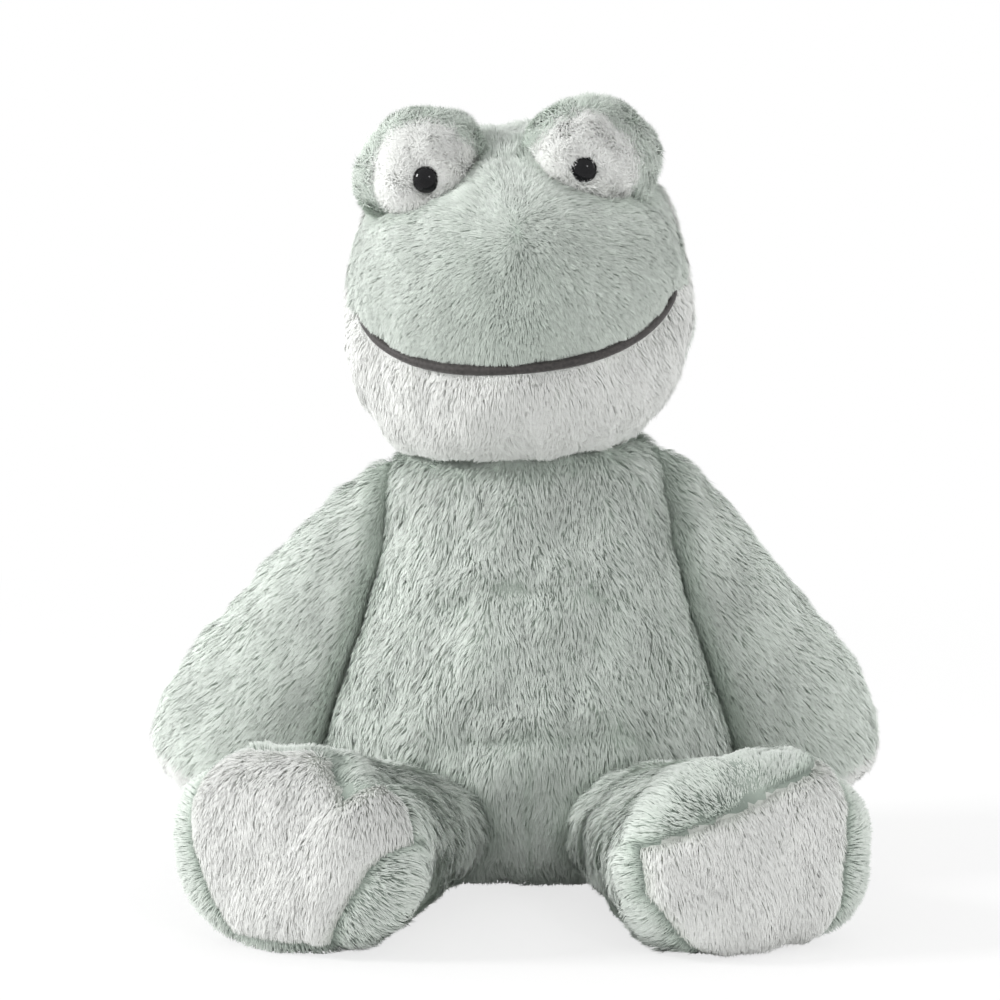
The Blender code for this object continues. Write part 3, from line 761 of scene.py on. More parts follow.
def pile_mesh(name, lines, normals, widths, rolls, tones, depths, fabric_share):
    """One mesh with a blade along each line."""
    count = len(lines)
    steps = np.diff(lines, axis=1)
    ahead = unit(np.concatenate([steps, steps[:, -1:]], 1))
    side = unit(np.cross(ahead, normals[:, None, :]))
    up = np.cross(side, ahead)
    side = side * np.cos(rolls)[:, None, None] + up * np.sin(rolls)[:, None, None]
    ring = blade_ring
    half = widths[:, None] * WIDTH_SHARES[ring] * blade_side / 2
    verts = (lines[:, ring] + half[:, :, None] * side[:, ring]).reshape(-1, 3)
    verts[:, 2] = np.maximum(verts[:, 2], FLOOR_GAP)
    corners = np.concatenate(blade_faces)
    sizes = np.array([len(face) for face in blade_faces])
    loops = (corners[None, :] + np.arange(count)[:, None] * len(ring)).ravel()
    starts = np.concatenate([[0], np.cumsum(np.tile(sizes, count))[:-1]])
    mesh = bpy.data.meshes.new(name)
    mesh.vertices.add(len(verts))
    mesh.vertices.foreach_set("co", verts.astype(np.float32).ravel())
    mesh.loops.add(len(loops))
    mesh.loops.foreach_set("vertex_index", loops.astype(np.int32))
    mesh.polygons.add(len(starts))
    mesh.polygons.foreach_set("loop_start", starts.astype(np.int32))
    mesh.update(calc_edges=True)
    columns = (np.clip(tones, 0, 0.999) * TONES).astype(int) + 0.5
    u = (columns[:, None] + COLUMN_SHARE * blade_side[corners]) / TONES
    v = ROOT_SHADE + (1 - ROOT_SHADE) * ring[corners] / SEGMENTS
    # a depth under 1 pulls a blade down the colour ramp, which paints shade; over 1, on the eyes, paler
    v = np.clip(v * depths[:, None], 0.01, 0.99)
    layer = mesh.uv_layers.new(name=PILE_MAP)
    layer.data.foreach_set("uv", np.stack([u, v], 2).astype(np.float32).ravel())
    faced = unit(up * (1 - fabric_share) + normals[:, None, :] * fabric_share)[:, ring]
    remember(mesh, faced.reshape(-1, 3))
    return mesh


# %% Keep the directions that the blades are shaded by
FACING = "facing"


def remember(mesh, vectors):
    """Keeps a direction for each corner point, until the mesh is whole."""
    kept = mesh.attributes.new(FACING, "FLOAT_VECTOR", "POINT")
    kept.data.foreach_set("vector", np.asarray(vectors, np.float32).ravel())


def face_outwards(mesh):
    """Shades every blade mostly like the fabric under it, which makes the pile one soft surface."""
    vectors = np.empty(len(mesh.vertices) * 3, np.float32)
    mesh.attributes[FACING].data.foreach_get("vector", vectors)
    mesh.attributes.remove(mesh.attributes[FACING])
    mesh.normals_split_custom_set_from_vertices(vectors.reshape(-1, 3))


# %% [markdown]
# ## Which way each panel is combed
# A maker cuts the panels so that the nap runs down and outwards: down the body, along the arms
# to the hands, along the legs to the feet, out from the bead on each eye and out from the brow
# over the muzzle. Each panel has a small rule for that.

# %% Comb the body
BELLY_FLARE, BELLY_HALF_WIDTH = 5, 0.045
SOLE_SLANT = 0.12
ARM_FLARE, ARM_DROOP = 0.35, 0.15
FLARE_START, FLARE_SPAN, SHIN_WIDTH = 0.78, 0.15, 0.022
SHIN_FLARE, SHIN_FALL = 0.9, 0.7


def down(points, side):
    """Down and outwards over the belly, and inwards again beside the arms."""
    flow = np.zeros_like(points)
    flow[:, 2] = -1
    flow[:, 0] = BELLY_FLARE * points[:, 0] * (1 - (points[:, 0] / BELLY_HALF_WIDTH) ** 2)
    return flow


def down_sole(points, side):
    flow = np.zeros_like(points)
    flow[:, 2] = -1
    flow[:, 0] = SIDES[side] * SOLE_SLANT
    return flow


def along_arm(points, side):
    flow = np.tile(np.array(arm_axes[side]), (len(points), 1))
    flow[:, 0] += SIDES[side] * ARM_FLARE
    flow[:, 2] -= ARM_DROOP
    return flow


def along_leg(points, side):
    """Down both sides of the leg, and out and back at the rim of the sole."""
    along, offset = from_leg_axis(points, side)
    rim = np.clip((along - FLARE_START) / FLARE_SPAN, 0, 1)[:, None]
    aside = np.clip(offset / SHIN_WIDTH, -1, 1) * np.array([1, 1, 0])
    fall = aside * SHIN_FLARE - np.array([0, 0, SHIN_FALL])
    return fall * (1 - rim) + (unit(offset) - np.array(leg_axes[side])) * rim


# %% Comb the head
WHORL_SIZE, MUZZLE_DROOP = 0.008, 0.25
JAW_FLARE, JAW_SWEEP = 9, 0.25
BACK_FLARE, BACK_SWEEP, BACK_FALL = 12, 0.7, 0.9
FLAT_CROWN, FLAT_CROWN_SPAN, FLAT_CROWN_LIFT = 0.028, 0.02, 0.8
EYE_SWEEP, EYE_HALF_DEPTH = 0.008, 0.02


def over_muzzle(points, side):
    """Out from a whorl in the middle, up to the eyes and down to the mouth."""
    flow = in_head(points) - WHORL
    flow[:, 1] = 0
    reach = np.linalg.norm(flow, axis=1, keepdims=True)
    return from_head(flow / (reach + WHORL_SIZE) - np.array([0, 0, MUZZLE_DROOP]))


def over_jaw(points, side):
    local = in_head(points)
    flow = np.zeros_like(points)
    flow[:, 0] = local[:, 0] * JAW_FLARE
    flow[:, 1] = JAW_SWEEP
    flow[:, 2] = -1
    return from_head(flow)


def over_back(points, side):
    local = in_head(points)
    flow = np.zeros_like(points)
    crown = np.clip((local[:, 2] - FLAT_CROWN) / FLAT_CROWN_SPAN, 0, 1)
    flow[:, 0] = local[:, 0] * BACK_FLARE
    flow[:, 1] = BACK_SWEEP
    flow[:, 2] = -BACK_FALL + crown * FLAT_CROWN_LIFT
    return from_head(flow)


def round_eye(points, side):
    """Out from the bead's axis, and back over the hood."""
    local = in_head(points) - in_head(np.array([eye_centres[side]]))
    flow = local.copy()
    flow[:, 1] = EYE_SWEEP + np.clip(local[:, 1], -EYE_HALF_DEPTH, EYE_HALF_DEPTH)
    return from_head(flow)


# %% [markdown]
# ## The panels
# Each panel stands for one CAD skin. The table gives its form, its body, its material slot, its
# comb, the pile's length in millimetres, its lift (how far it stands up) and its tufts in
# thousands to the square metre. They come from the photograph: short and dense on the muzzle,
# fluffy round the eyes, flatter on the soles.

# %% List the panels
THOUSAND = 1000
PANELS = {
    "torso_skin_left": ("torso", "torso", "green_plush", down, 5.3, 0.85, 3000),
    "torso_skin_right": ("torso", "torso", "green_plush", down, 5.3, 0.85, 3000),
    "seat_skin": ("torso", "torso", "green_plush", down, 4.5, 0.6, 1500),
    "muzzle_skin": ("head", "head", "green_plush", over_muzzle, 3.8, 0.9, 6500),
    "jaw_skin": ("head", "head", "cream_plush", over_jaw, 4.8, 0.85, 4800),
    "head_back_skin": ("head", "head", "green_plush", over_back, 6.0, 0.9, 2500),
}
for side in SIDES:
    arm, leg, eye = f"arm_{side}", f"leg_{side}", f"eye_{side}"
    PANELS |= {
        f"eye_hood_{side}": (eye, "head", "green_plush", round_eye, 5.8, 0.9, 8500),
        f"eye_dome_{side}": (eye, "head", "cream_plush", round_eye, 5.0, 0.95, 12000),
        f"arm_skin_{side}": (arm, arm, "green_plush", along_arm, 5.7, 0.85, 3500),
        f"palm_{side}": (arm, arm, "cream_plush", along_arm, 6.0, 0.85, 3300),
        f"leg_skin_{side}": (leg, leg, "green_plush", along_leg, 5.3, 0.85, 3000),
        f"sole_{side}": (leg, leg, "cream_plush", down_sole, 4.5, 0.75, 5400),
    }


# %% Share out a form's faces
def owners(name, spots):
    """The skin that each spot of a form belongs to."""
    skins = FORMS[name][0]
    if name.startswith("leg"):
        return np.where(on_sole(spots, name[4:])[0], f"sole_{name[4:]}", f"leg_skin_{name[4:]}")
    gaps = [[tree.find_nearest(Vector(spot))[3] for tree in skin_trees[name]] for spot in spots]
    return np.array(skins)[np.argmin(gaps, 1)]


skin_trees = {
    name: [
        BVHTree.FromPolygons(
            [v.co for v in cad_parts[skin].data.vertices],
            [tuple(p.vertices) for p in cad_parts[skin].data.polygons],
        )
        for skin in skins
    ]
    for name, (skins, insides) in FORMS.items()
}


SETTLING_ROUNDS = 5


def settled(name, chosen):
    """Lets each face follow most of its neighbours, which leaves even seams and no lone faces."""
    faces = forms[name].faces
    faces.index_update()
    faces.ensure_lookup_table()
    around = [{near.index for edge in face.edges for near in edge.link_faces} for face in faces]
    for _ in range(SETTLING_ROUNDS):
        votes = [[chosen[near] for near in near_by] for near_by in around]
        chosen = [max(sorted(set(vote)), key=vote.count) for vote in votes]
    return chosen


panel_faces = {}
for name, form in forms.items():
    middles = np.array([face.calc_center_median() for face in form.faces])
    panel_faces[name] = settled(name, list(owners(name, middles)))
    print({skin: panel_faces[name].count(skin) for skin in FORMS[name][0]})


# %% [markdown]
# The fabric itself shows only where the pile is thin. It is the panel's share of the form, given
# the thickness of fur fabric, in the shade that the pile has near its roots. On the legs it is
# painted darker still, as the shade of the sole's seam.

# %% Cut the fabric
FABRIC = 0.0015
SHELL_PATCH, SHELL_TONES, SHELL_NOISE = 300, 0.45, 0.04
# the legs' fabric sits lower on the ramp, which paints the shade of the sole's seam where it shows
SHELL_SHADE, LEG_FABRIC_PAINTED_SHADE = 0.3, 0.12


def shell_of(skin, name):
    """The panel's share of its form, with a second layer inside it and a rim between them."""
    own = [face for face, panel in zip(forms[name].faces, panel_faces[name]) if panel == skin]
    verts = sorted({v for face in own for v in face.verts}, key=lambda v: v.index)
    place = {v: index for index, v in enumerate(verts)}
    count = len(verts)
    outer = [[place[v] for v in face.verts] for face in own]
    inner = [[index + count for index in reversed(face)] for face in outer]
    sides = [(a, b) for face in outer for a, b in zip(face, face[1:] + face[:1])]
    rim = [(b, a, a + count, b + count) for a, b in set(sides) - {(b, a) for a, b in sides}]
    spots = [v.co for v in verts] + [v.co - v.normal * FABRIC for v in verts]
    mesh = bpy.data.meshes.new(skin)
    mesh.from_pydata(spots, [], outer + inner + sorted(rim))
    corners = np.array([spots[loop.vertex_index] for loop in mesh.loops]) * SHELL_PATCH
    x, y, z = corners.T
    layer = mesh.uv_layers.new(name=PILE_MAP)
    # painted seam shade on the legs' fabric
    shade = LEG_FABRIC_PAINTED_SHADE if name.startswith("leg") else SHELL_SHADE
    tones = 0.5 + SHELL_TONES * np.sin(x + 0.7 * z)
    spread = np.stack([tones, shade + SHELL_NOISE * np.cos(y + z)], 1)
    layer.data.foreach_set("uv", spread.astype(np.float32).ravel())
    remember(mesh, [v.normal for v in verts] + [-v.normal for v in verts])
    return mesh


# %% Scatter the roots
TIGHT, TIGHT_SHARE = 0.002, 0.8  # where the room is less, fewer tufts stand
UNDERSIDE, UNDERSIDE_SHARE = -0.6, 0.4  # and fewer still on what lies on the floor


def scattered(skin, name, thousands):
    """Random roots on a panel's faces, with the normals, the room and the gap there."""
    bm = forms[name]
    bm.normal_update()
    faces = {face for face, own in zip(bm.faces, panel_faces[name]) if own == skin}
    for _ in range(2):
        faces |= {near for face in faces for edge in face.edges for near in edge.link_faces}
    faces = sorted(faces, key=lambda face: face.index)
    triangles, areas = [], []
    for face in faces:
        corners = face.verts[:]
        for second, third in zip(corners[1:], corners[2:]):
            triangles.append((corners[0], second, third))
            areas.append((second.co - corners[0].co).cross(third.co - corners[0].co).length / 2)
    corners = {v for t in triangles for v in t}
    rooms = {v: room_at(name, v.co, v.normal) for v in corners}
    gaps = {v: gap_at(name, v.co) for v in corners}
    areas = np.array(areas)
    tight = np.array([min(rooms[v] for v in t) for t in triangles])
    weights = areas * np.where(tight < TIGHT, TIGHT_SHARE, 1.0)
    if name.startswith(("torso", "leg")):
        below = np.array([t[0].normal.z for t in triangles]) < UNDERSIDE
        weights *= np.where(below, UNDERSIDE_SHARE, 1.0)
    count = int(weights.sum() * thousands * THOUSAND)
    picked = rng.choice(len(triangles), count, p=weights / weights.sum())
    a, b = rng.random(count), rng.random(count)
    flip = a + b > 1
    a[flip], b[flip] = 1 - a[flip], 1 - b[flip]
    shares = np.stack([1 - a - b, a, b], 1)
    places = np.array([[v.co for v in t] for t in triangles])
    normals = np.array([[v.normal for v in t] for t in triangles])
    room = np.array([[rooms[v] for v in t] for t in triangles])
    gap = np.array([[gaps[v] for v in t] for t in triangles])
    return (
        (places[picked] * shares[:, :, None]).sum(1),
        unit((normals[picked] * shares[:, :, None]).sum(1)),
        (room[picked] * shares).sum(1),
        (gap[picked] * shares).sum(1),
    )


# %% [markdown]
# ## Growing a pile
# The tufts of a panel differ in many small ways: in direction, length, how far they stand up, tone
# and how far up the colour ramp they reach, which paints shade in places. Each step below works one
# of these out for all the tufts at once. A tuft is planted only where its own panel lies, and none
# stands under a bead.

# %% Plant the roots
COLLAR = 0.8  # the fur starts at this share of the bead's radius from its axis
CROWN, CROWN_SPAN, MIDDLE_REACH = 0.036, 0.02, 0.022
SEAM_WIDTH = 0.0018


class Pile:
    """The tufts of one panel, with what the later steps need to know of each root."""

    def __init__(self, skin, name, body, thousands):
        self.skin, self.name, self.body = skin, name, body
        self.side = "left" if skin.endswith("left") else "right"
        self.roots, self.normals, self.room, self.gap = scattered(skin, name, thousands)
        kept = owners(name, self.roots) == skin
        if self.on("eye_dome"):
            kept &= off_axis(self.roots, self.side) > COLLAR * BEAD_RADIUS
        self.roots, self.normals = self.roots[kept], self.normals[kept]
        self.room, self.gap = self.room[kept], self.gap[kept]
        self.count = len(self.roots)
        x, _, z = in_head(self.roots).T
        self.below_crown = np.clip((CROWN - z) / CROWN_SPAN, 0, 1)
        self.in_middle = np.exp(-((x**2 + z**2) / MIDDLE_REACH**2))
        self.breaks = list(nap_breaks(self.roots)) if self.on("torso") else []
        if name.startswith("leg"):
            self.seam = hump(on_sole(self.roots, self.side)[1], 0, SEAM_WIDTH)

    def on(self, *starts):
        """Whether the panel's name starts so."""
        return self.skin.startswith(starts)


# %% Comb it
SWIRLS = ((0.24, 0.024, 11), (0.15, 0.007, 14))  # amount, length, seed
SOFT_SWIRL, COMB_NOISE = 0.5, 0.09


def comb_pile(pile, rule):
    """Lays the tufts by the panel's rule, with swirls and a little disorder."""
    flows = rule(pile.roots, pile.side)
    soft = SOFT_SWIRL if pile.on("eye", "muzzle", "sole", "arm") else 1.0
    for amount, length, seed in SWIRLS:
        field = [waves(pile.roots, length, seed + axis) for axis in range(3)]
        flows += amount * soft * np.stack(field, 1)
    flows += rng.normal(0, COMB_NOISE, (pile.count, 3))
    pile.flows = unit(flows - pile.normals * (flows * pile.normals).sum(1, keepdims=True))


# %% [markdown]
# No two tufts are equally long or stand up equally far. Fur beside another form is worn short,
# and where the nap of the belly breaks, it stands up above the break and is thin below it.

# %% Let it grow
LENGTH_SPREAD = (0.8, 1.1)
LENGTH_WAVE, LENGTH_WAVE_LENGTH = 0.07, 0.012
WORN_REACH, WORN_LENGTH = 0.005, 0.55  # the pile beside another form is this much shorter
STAND_WAVE, STAND_WAVE_LENGTHS, STAND_NOISE = 0.14, (0.018, 0.006), 0.08
STRAY_SHARE, STRAY_STAND = 0.05, 1.4
LEDGE_STAND, LEDGE_TRIM = 0.9, 0.5
RAISED, THINNED = (0.002, 0.004), (-0.004, 0.003)  # how far above a break, and how wide


def grow_pile(pile, length, lift):
    """How long each tuft is and how far it stands up."""
    roots = pile.roots
    pile.lengths = length * MILLIMETRE * rng.uniform(*LENGTH_SPREAD, pile.count)
    pile.lengths *= 1 + LENGTH_WAVE * waves(roots, LENGTH_WAVE_LENGTH, 23)
    if pile.body != "head":
        pile.lengths *= np.clip(pile.gap / WORN_REACH, WORN_LENGTH, 1)
    slow, quick = STAND_WAVE_LENGTHS
    pile.stand = 1 + STAND_WAVE * waves(roots, slow, 31) + STAND_WAVE * waves(roots, quick, 35)
    pile.stand = lift * pile.stand + rng.normal(0, STAND_NOISE, pile.count)
    if not pile.on("eye"):
        pile.stand[rng.random(pile.count) < STRAY_SHARE] *= STRAY_STAND
    for above, here in pile.breaks:
        pile.stand *= 1 + LEDGE_STAND * here * hump(above, *RAISED)
        pile.lengths *= 1 - LEDGE_TRIM * here * hump(above, *THINNED)


# %% [markdown]
# The maker trims the fur along the mouth so that the cord shows, and parts it at the sole's seam.
# Round each bead some fur laps over the rim, which makes the bead look sewn in.

# %% Trim it
SMILE_OVERHANG = 0.0011  # how far the muzzle's pile reaches over the cord
SMILE_CLOSE, SMILE_STAND, SMILE_TRIM, JOWL_TRIM = 0.004, 0.5, 0.45, 0.4
WHORL_REACH, WHORL_DIP = 0.011, 0.1
LAP, LAP_SHARE, LAP_STAND, LAP_LENGTH = 0.0012, 0.45, 1.7, 0.0032
RIM_START, RIM_SPAN, RIM_TRIM, RIM_STAND = 0.8, 0.15, 0.25, 0.4
DIP_TRIM, DIP_STAND = 0.45, 0.6
SEAM_TRIM = 0.3


def trim_head(pile):
    """Short fur along the mouth, a dip in the whorl, and a collar that laps over each bead."""
    if pile.on("muzzle"):
        pile.lengths = np.minimum(pile.lengths, near_smile(pile.roots) + SMILE_OVERHANG)
        x, _, z = (in_head(pile.roots) - WHORL).T
        pile.stand *= 1 - WHORL_DIP * np.exp(-((x**2 + z**2) / WHORL_REACH**2))
    if pile.on("jaw"):
        close = hump(near_smile(pile.roots), 0, SMILE_CLOSE)
        pile.stand *= 1 + SMILE_STAND * close
        pile.lengths *= (1 - SMILE_TRIM * close) * (1 - JOWL_TRIM * near_jowl(pile.roots))
    if pile.on("eye_dome"):
        lapping = off_axis(pile.roots, pile.side) < BEAD_RADIUS + LAP
        lapping &= rng.random(pile.count) < LAP_SHARE
        pile.flows[lapping] *= -1
        pile.stand[lapping], pile.lengths[lapping] = LAP_STAND, LAP_LENGTH


def trim_leg(pile):
    """Fur that stands up round the foot's rim, and is short in its dips and along the seam."""
    if pile.on("leg"):
        along = from_leg_axis(pile.roots, pile.side)[0]
        rim = np.clip((along - RIM_START) / RIM_SPAN, 0, 1)
        dips = foot_dips(pile.roots, pile.side)
        pile.lengths *= (1 - RIM_TRIM * rim) * (1 - DIP_TRIM * dips)
        pile.stand *= (1 + RIM_STAND * rim) * (1 - DIP_STAND * dips)
    if pile.name.startswith("leg"):
        pile.lengths *= 1 - SEAM_TRIM * pile.seam


# %% Bend it
LEANS = np.radians((50, 19))
LEAST_LEAN, MOST_LEAN = 0.03, 1.45
ROOM_SHARE, LEAST_ROOM, MUZZLE_LEAST_ROOM = 0.85, 0.04, 0.6
NEAR_OTHERS = 0.6 * REACH
TUFTS_PER_LOCK = 8
LOCK_PULL, EYE_LOCK_PULL, PULL_SPREAD, MOST_PULL = 0.24, 0.12, 0.12, 0.6


def bend_pile(pile):
    """Bends each tuft, no higher than its room, and draws it towards its lock."""
    leans = np.clip(LEANS[:, None] * pile.stand, 2 * LEAST_LEAN, MOST_LEAN)
    height = pile.lengths / SEGMENTS * sum(np.sin(leans))
    least = MUZZLE_LEAST_ROOM if pile.on("muzzle") else LEAST_ROOM
    pile.stand *= np.clip(pile.room * ROOM_SHARE / height, least, 1)
    leans = [np.clip(lean * pile.stand, LEAST_LEAN, MOST_LEAN) for lean in LEANS]
    lines = tuft_lines(pile.roots, pile.normals, pile.flows, pile.lengths, leans)
    pile.lock = lock_leaders(pile.roots, TUFTS_PER_LOCK)
    pull = EYE_LOCK_PULL if pile.on("eye") else LOCK_PULL
    pull = np.clip(rng.normal(pull, PULL_SPREAD, pile.count), 0, MOST_PULL)
    pile.lines = locked(lines, pile.lock, pull)
    for step in range(1, SEGMENTS + 1):
        pile.lines[:, step] = kept_out(pile.name, pile.lines[:, step], pile.room < NEAR_OTHERS)


# %% [markdown]
# Two numbers then colour each tuft. Its tone says how light it is: lighter on the eyes, with
# painted light on the outer sides of the arms, painted shade on the chest and the lower muzzle, and
# one sole painted lighter than the other. Its depth says how far up the colour ramp it reaches: less
# at the belly's seam, and less in creases, along the sole's seam, under the belly's ledges, on the
# hood beside the dome and on the lower muzzle, which paints shade there; in the creases pressed fur
# also shows its roots.

# %% Colour it
TONE_WAVE, TONE_WAVE_LENGTH, TONE_NOISE = 0.16, 0.03, 0.10
LOCK_NOISE, MUZZLE_LOCK_NOISE, EYE_NOISE = 0.06, 0.2, 0.2
# painted light on the outer sides of the arms
OUTER_LIGHT_TONE, OUTER_START, OUTER_SPAN = 0.45, 0.045, 0.05
# painted shade on the chest, under the head
CHEST_SHADE_TONE, CHEST_START, CHEST_SPAN = 0.45, 0.1, 0.04
# the middle value is painted shade on the lower muzzle; the dome's and the jaw's are their own colours
DOME_TONE, MUZZLE_SHADE_TONE, JAW_TONE = 0.4, 0.45, 0.2
# painted light on one sole and painted shade on the other
SOLE_LIGHT_AND_SHADE = {"left": 0.32, "right": -0.2}


def tones_of(pile):
    """How light each tuft is, with painted light and shade on the arms, chest, lower muzzle and soles.
    """
    tones = 0.5 + TONE_WAVE * waves(pile.roots, TONE_WAVE_LENGTH, 41)
    tones += rng.normal(0, TONE_NOISE, pile.count)
    lock_noise = MUZZLE_LOCK_NOISE if pile.on("muzzle") else LOCK_NOISE
    tones += rng.normal(0, lock_noise, pile.count)[pile.lock]
    if pile.on("eye"):
        tones += rng.normal(0, EYE_NOISE, pile.count)
    # painted light on the arms' outer sides
    if pile.name.startswith("arm"):
        tones += OUTER_LIGHT_TONE * np.clip((abs(pile.roots[:, 0]) - OUTER_START) / OUTER_SPAN, 0, 1)
    if pile.on("eye_dome"):
        tones += DOME_TONE
    # painted shade on the lower muzzle
    if pile.on("muzzle"):
        tones -= MUZZLE_SHADE_TONE * pile.below_crown
    if pile.on("jaw"):
        tones -= JAW_TONE
    # painted light on one sole, painted shade on the other
    if pile.on("sole"):
        tones += SOLE_LIGHT_AND_SHADE[pile.side]
    # painted shade on the chest, under the head
    if pile.on("torso"):
        tones -= CHEST_SHADE_TONE * np.clip((pile.roots[:, 2] - CHEST_START) / CHEST_SPAN, 0, 1)
    return tones


# pile that is nearer to another form than the first length is painted darker as crease shade, where
# pressed fur also shows its roots, and the second value says how much of the pile's colour is left
# there
HEAD_CREASE_SHADE, BODY_CREASE_SHADE = (0.007, 0.8), (0.009, 0.6)
EYE_PALENESS = 1.2
# painted shade on the hood, along its edge beside the dome
HOOD_SHADE_DEPTH, HOOD_SHADE_WIDTH = 0.6, 0.005
# painted shade on the lower muzzle and in its middle
MUZZLE_SHADE_DEPTH, MIDDLE_SHADE_DEPTH = 0.16, 0.26
# painted shadow under each ledge of the nap, and painted shade along the sole's seam
LEDGE_SHADOW_DEPTH, GROOVE_SHADE_DEPTH = 0.4, 0.8
SHADOW = (-0.003, 0.002)  # how far above a break, and how wide
BELLY_SEAM_TOP, BELLY_SEAM_FADE = 0.06, 0.02
BELLY_SEAM_WIDTH, BELLY_SEAM_DEPTH = 0.0012, 0.45


def shade_depths_of(pile):
    """How far up the colour ramp each tuft reaches: lower where shade is painted, higher on the eyes.
    """
    # painted shade in the creases, where pressed fur also shows its roots
    crease, least = HEAD_CREASE_SHADE if pile.body == "head" else BODY_CREASE_SHADE
    depths = np.clip(pile.gap / crease, least, 1)
    if pile.on("eye"):
        depths *= EYE_PALENESS
    # painted shade on the hood beside the dome
    if pile.on("eye_hood"):
        dome = skin_trees[pile.name][1]
        from_dome = np.array([dome.find_nearest(Vector(root))[3] for root in pile.roots])
        depths *= 1 - HOOD_SHADE_DEPTH * hump(from_dome, 0, HOOD_SHADE_WIDTH)
    # painted shade on the lower muzzle and in its middle
    if pile.on("muzzle"):
        depths *= 1 - MUZZLE_SHADE_DEPTH * pile.below_crown - MIDDLE_SHADE_DEPTH * pile.in_middle
    # painted shadow under each ledge of the nap
    for above, here in pile.breaks:
        depths *= 1 - LEDGE_SHADOW_DEPTH * here * hump(above, *SHADOW)
    if pile.on("torso"):
        x, y, z = pile.roots.T
        front = (y < 0) * np.clip((BELLY_SEAM_TOP - z) / BELLY_SEAM_FADE, 0, 1)
        depths *= 1 - BELLY_SEAM_DEPTH * front * hump(x, 0, BELLY_SEAM_WIDTH)
    # painted shade along the sole's seam
    if pile.name.startswith("leg"):
        depths *= 1 - GROOVE_SHADE_DEPTH * pile.seam
    return depths


# %% Make its blades
WIDTH, EYE_WIDTH, WIDTH_SPREAD = 0.00034, 0.00024, (0.7, 1.25)
ROLL_SPREAD, MOST_ROLL = 0.10, 0.3
FABRIC_SHARE, EYE_FABRIC_SHARE = 0.85, 0.6


def blades_of(pile):
    """The whole pile as one mesh."""
    tones = tones_of(pile)
    width = EYE_WIDTH if pile.on("eye") else WIDTH
    widths = width * rng.uniform(*WIDTH_SPREAD, pile.count)
    rolls = np.clip(rng.normal(0, ROLL_SPREAD, pile.count), -MOST_ROLL, MOST_ROLL)
    share = EYE_FABRIC_SHARE if pile.on("eye") else FABRIC_SHARE
    name, depths = pile.skin + "_pile", shade_depths_of(pile)
    return pile_mesh(name, pile.lines, pile.normals, widths, rolls, tones, depths, share)


# %% Dress the panels
def dressed(skin, name, body, colour, comb, length, lift, thousands):
    """A furred panel that stands for its CAD skin."""
    pile = Pile(skin, name, body, thousands)
    comb_pile(pile, comb)
    grow_pile(pile, length, lift)
    trim_head(pile)
    trim_leg(pile)
    bend_pile(pile)
    blades = blades_of(pile)
    piece_name = skin.replace("_skin", "") + "_plush"
    both = [placed(piece_name, mesh) for mesh in (shell_of(skin, name), blades)]
    for obj in both:
        obj.data.materials.append(FURS[colour])
    with bpy.context.temp_override(active_object=both[0], selected_editable_objects=both):
        bpy.ops.object.join()
    piece = both[0]
    piece.name = piece_name
    piece.data.polygons.foreach_set("use_smooth", np.ones(len(piece.data.polygons), bool))
    face_outwards(piece.data)
    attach(piece, body)
    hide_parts(skin)
    print(piece_name, pile.count, "tufts", len(piece.data.polygons), "faces")


for skin, panel in PANELS.items():
    dressed(skin, *panel)

# %% [markdown]
# ## The smile
# The smile is a dark cord that is sewn into the seam under the muzzle. Its tube was drawn along
# the CAD trim, thinner at the corners, and gets a fine grain in its colour and its bump.

# %% Sew the smile
cord = placed("smile_cord", mesh_from("smile_cord", cord_form))
cord.data.shade_smooth()
umber = Recipe("umber_cord", Roughness=0.62, Sheen_Weight=0.25, Sheen_Roughness=0.5)
grain = umber.noise(900.0, 3.0)
umber.feed(
    Base_Color=umber.ramp(grain, (0.3, (0.016, 0.014, 0.013)), (0.7, (0.050, 0.043, 0.040))),
    Normal=umber.bump(grain, 0.0004),
)
cord.data.materials.append(umber.material)
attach(cord, "head")
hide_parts("mouth_trim")

# %% [markdown]
# ## The bead eyes
# Each bead is a moulded dome with a turned edge, polished black. Its half section is spun round
# the axis that the CAD bead has, and only the highlight shows its shape.

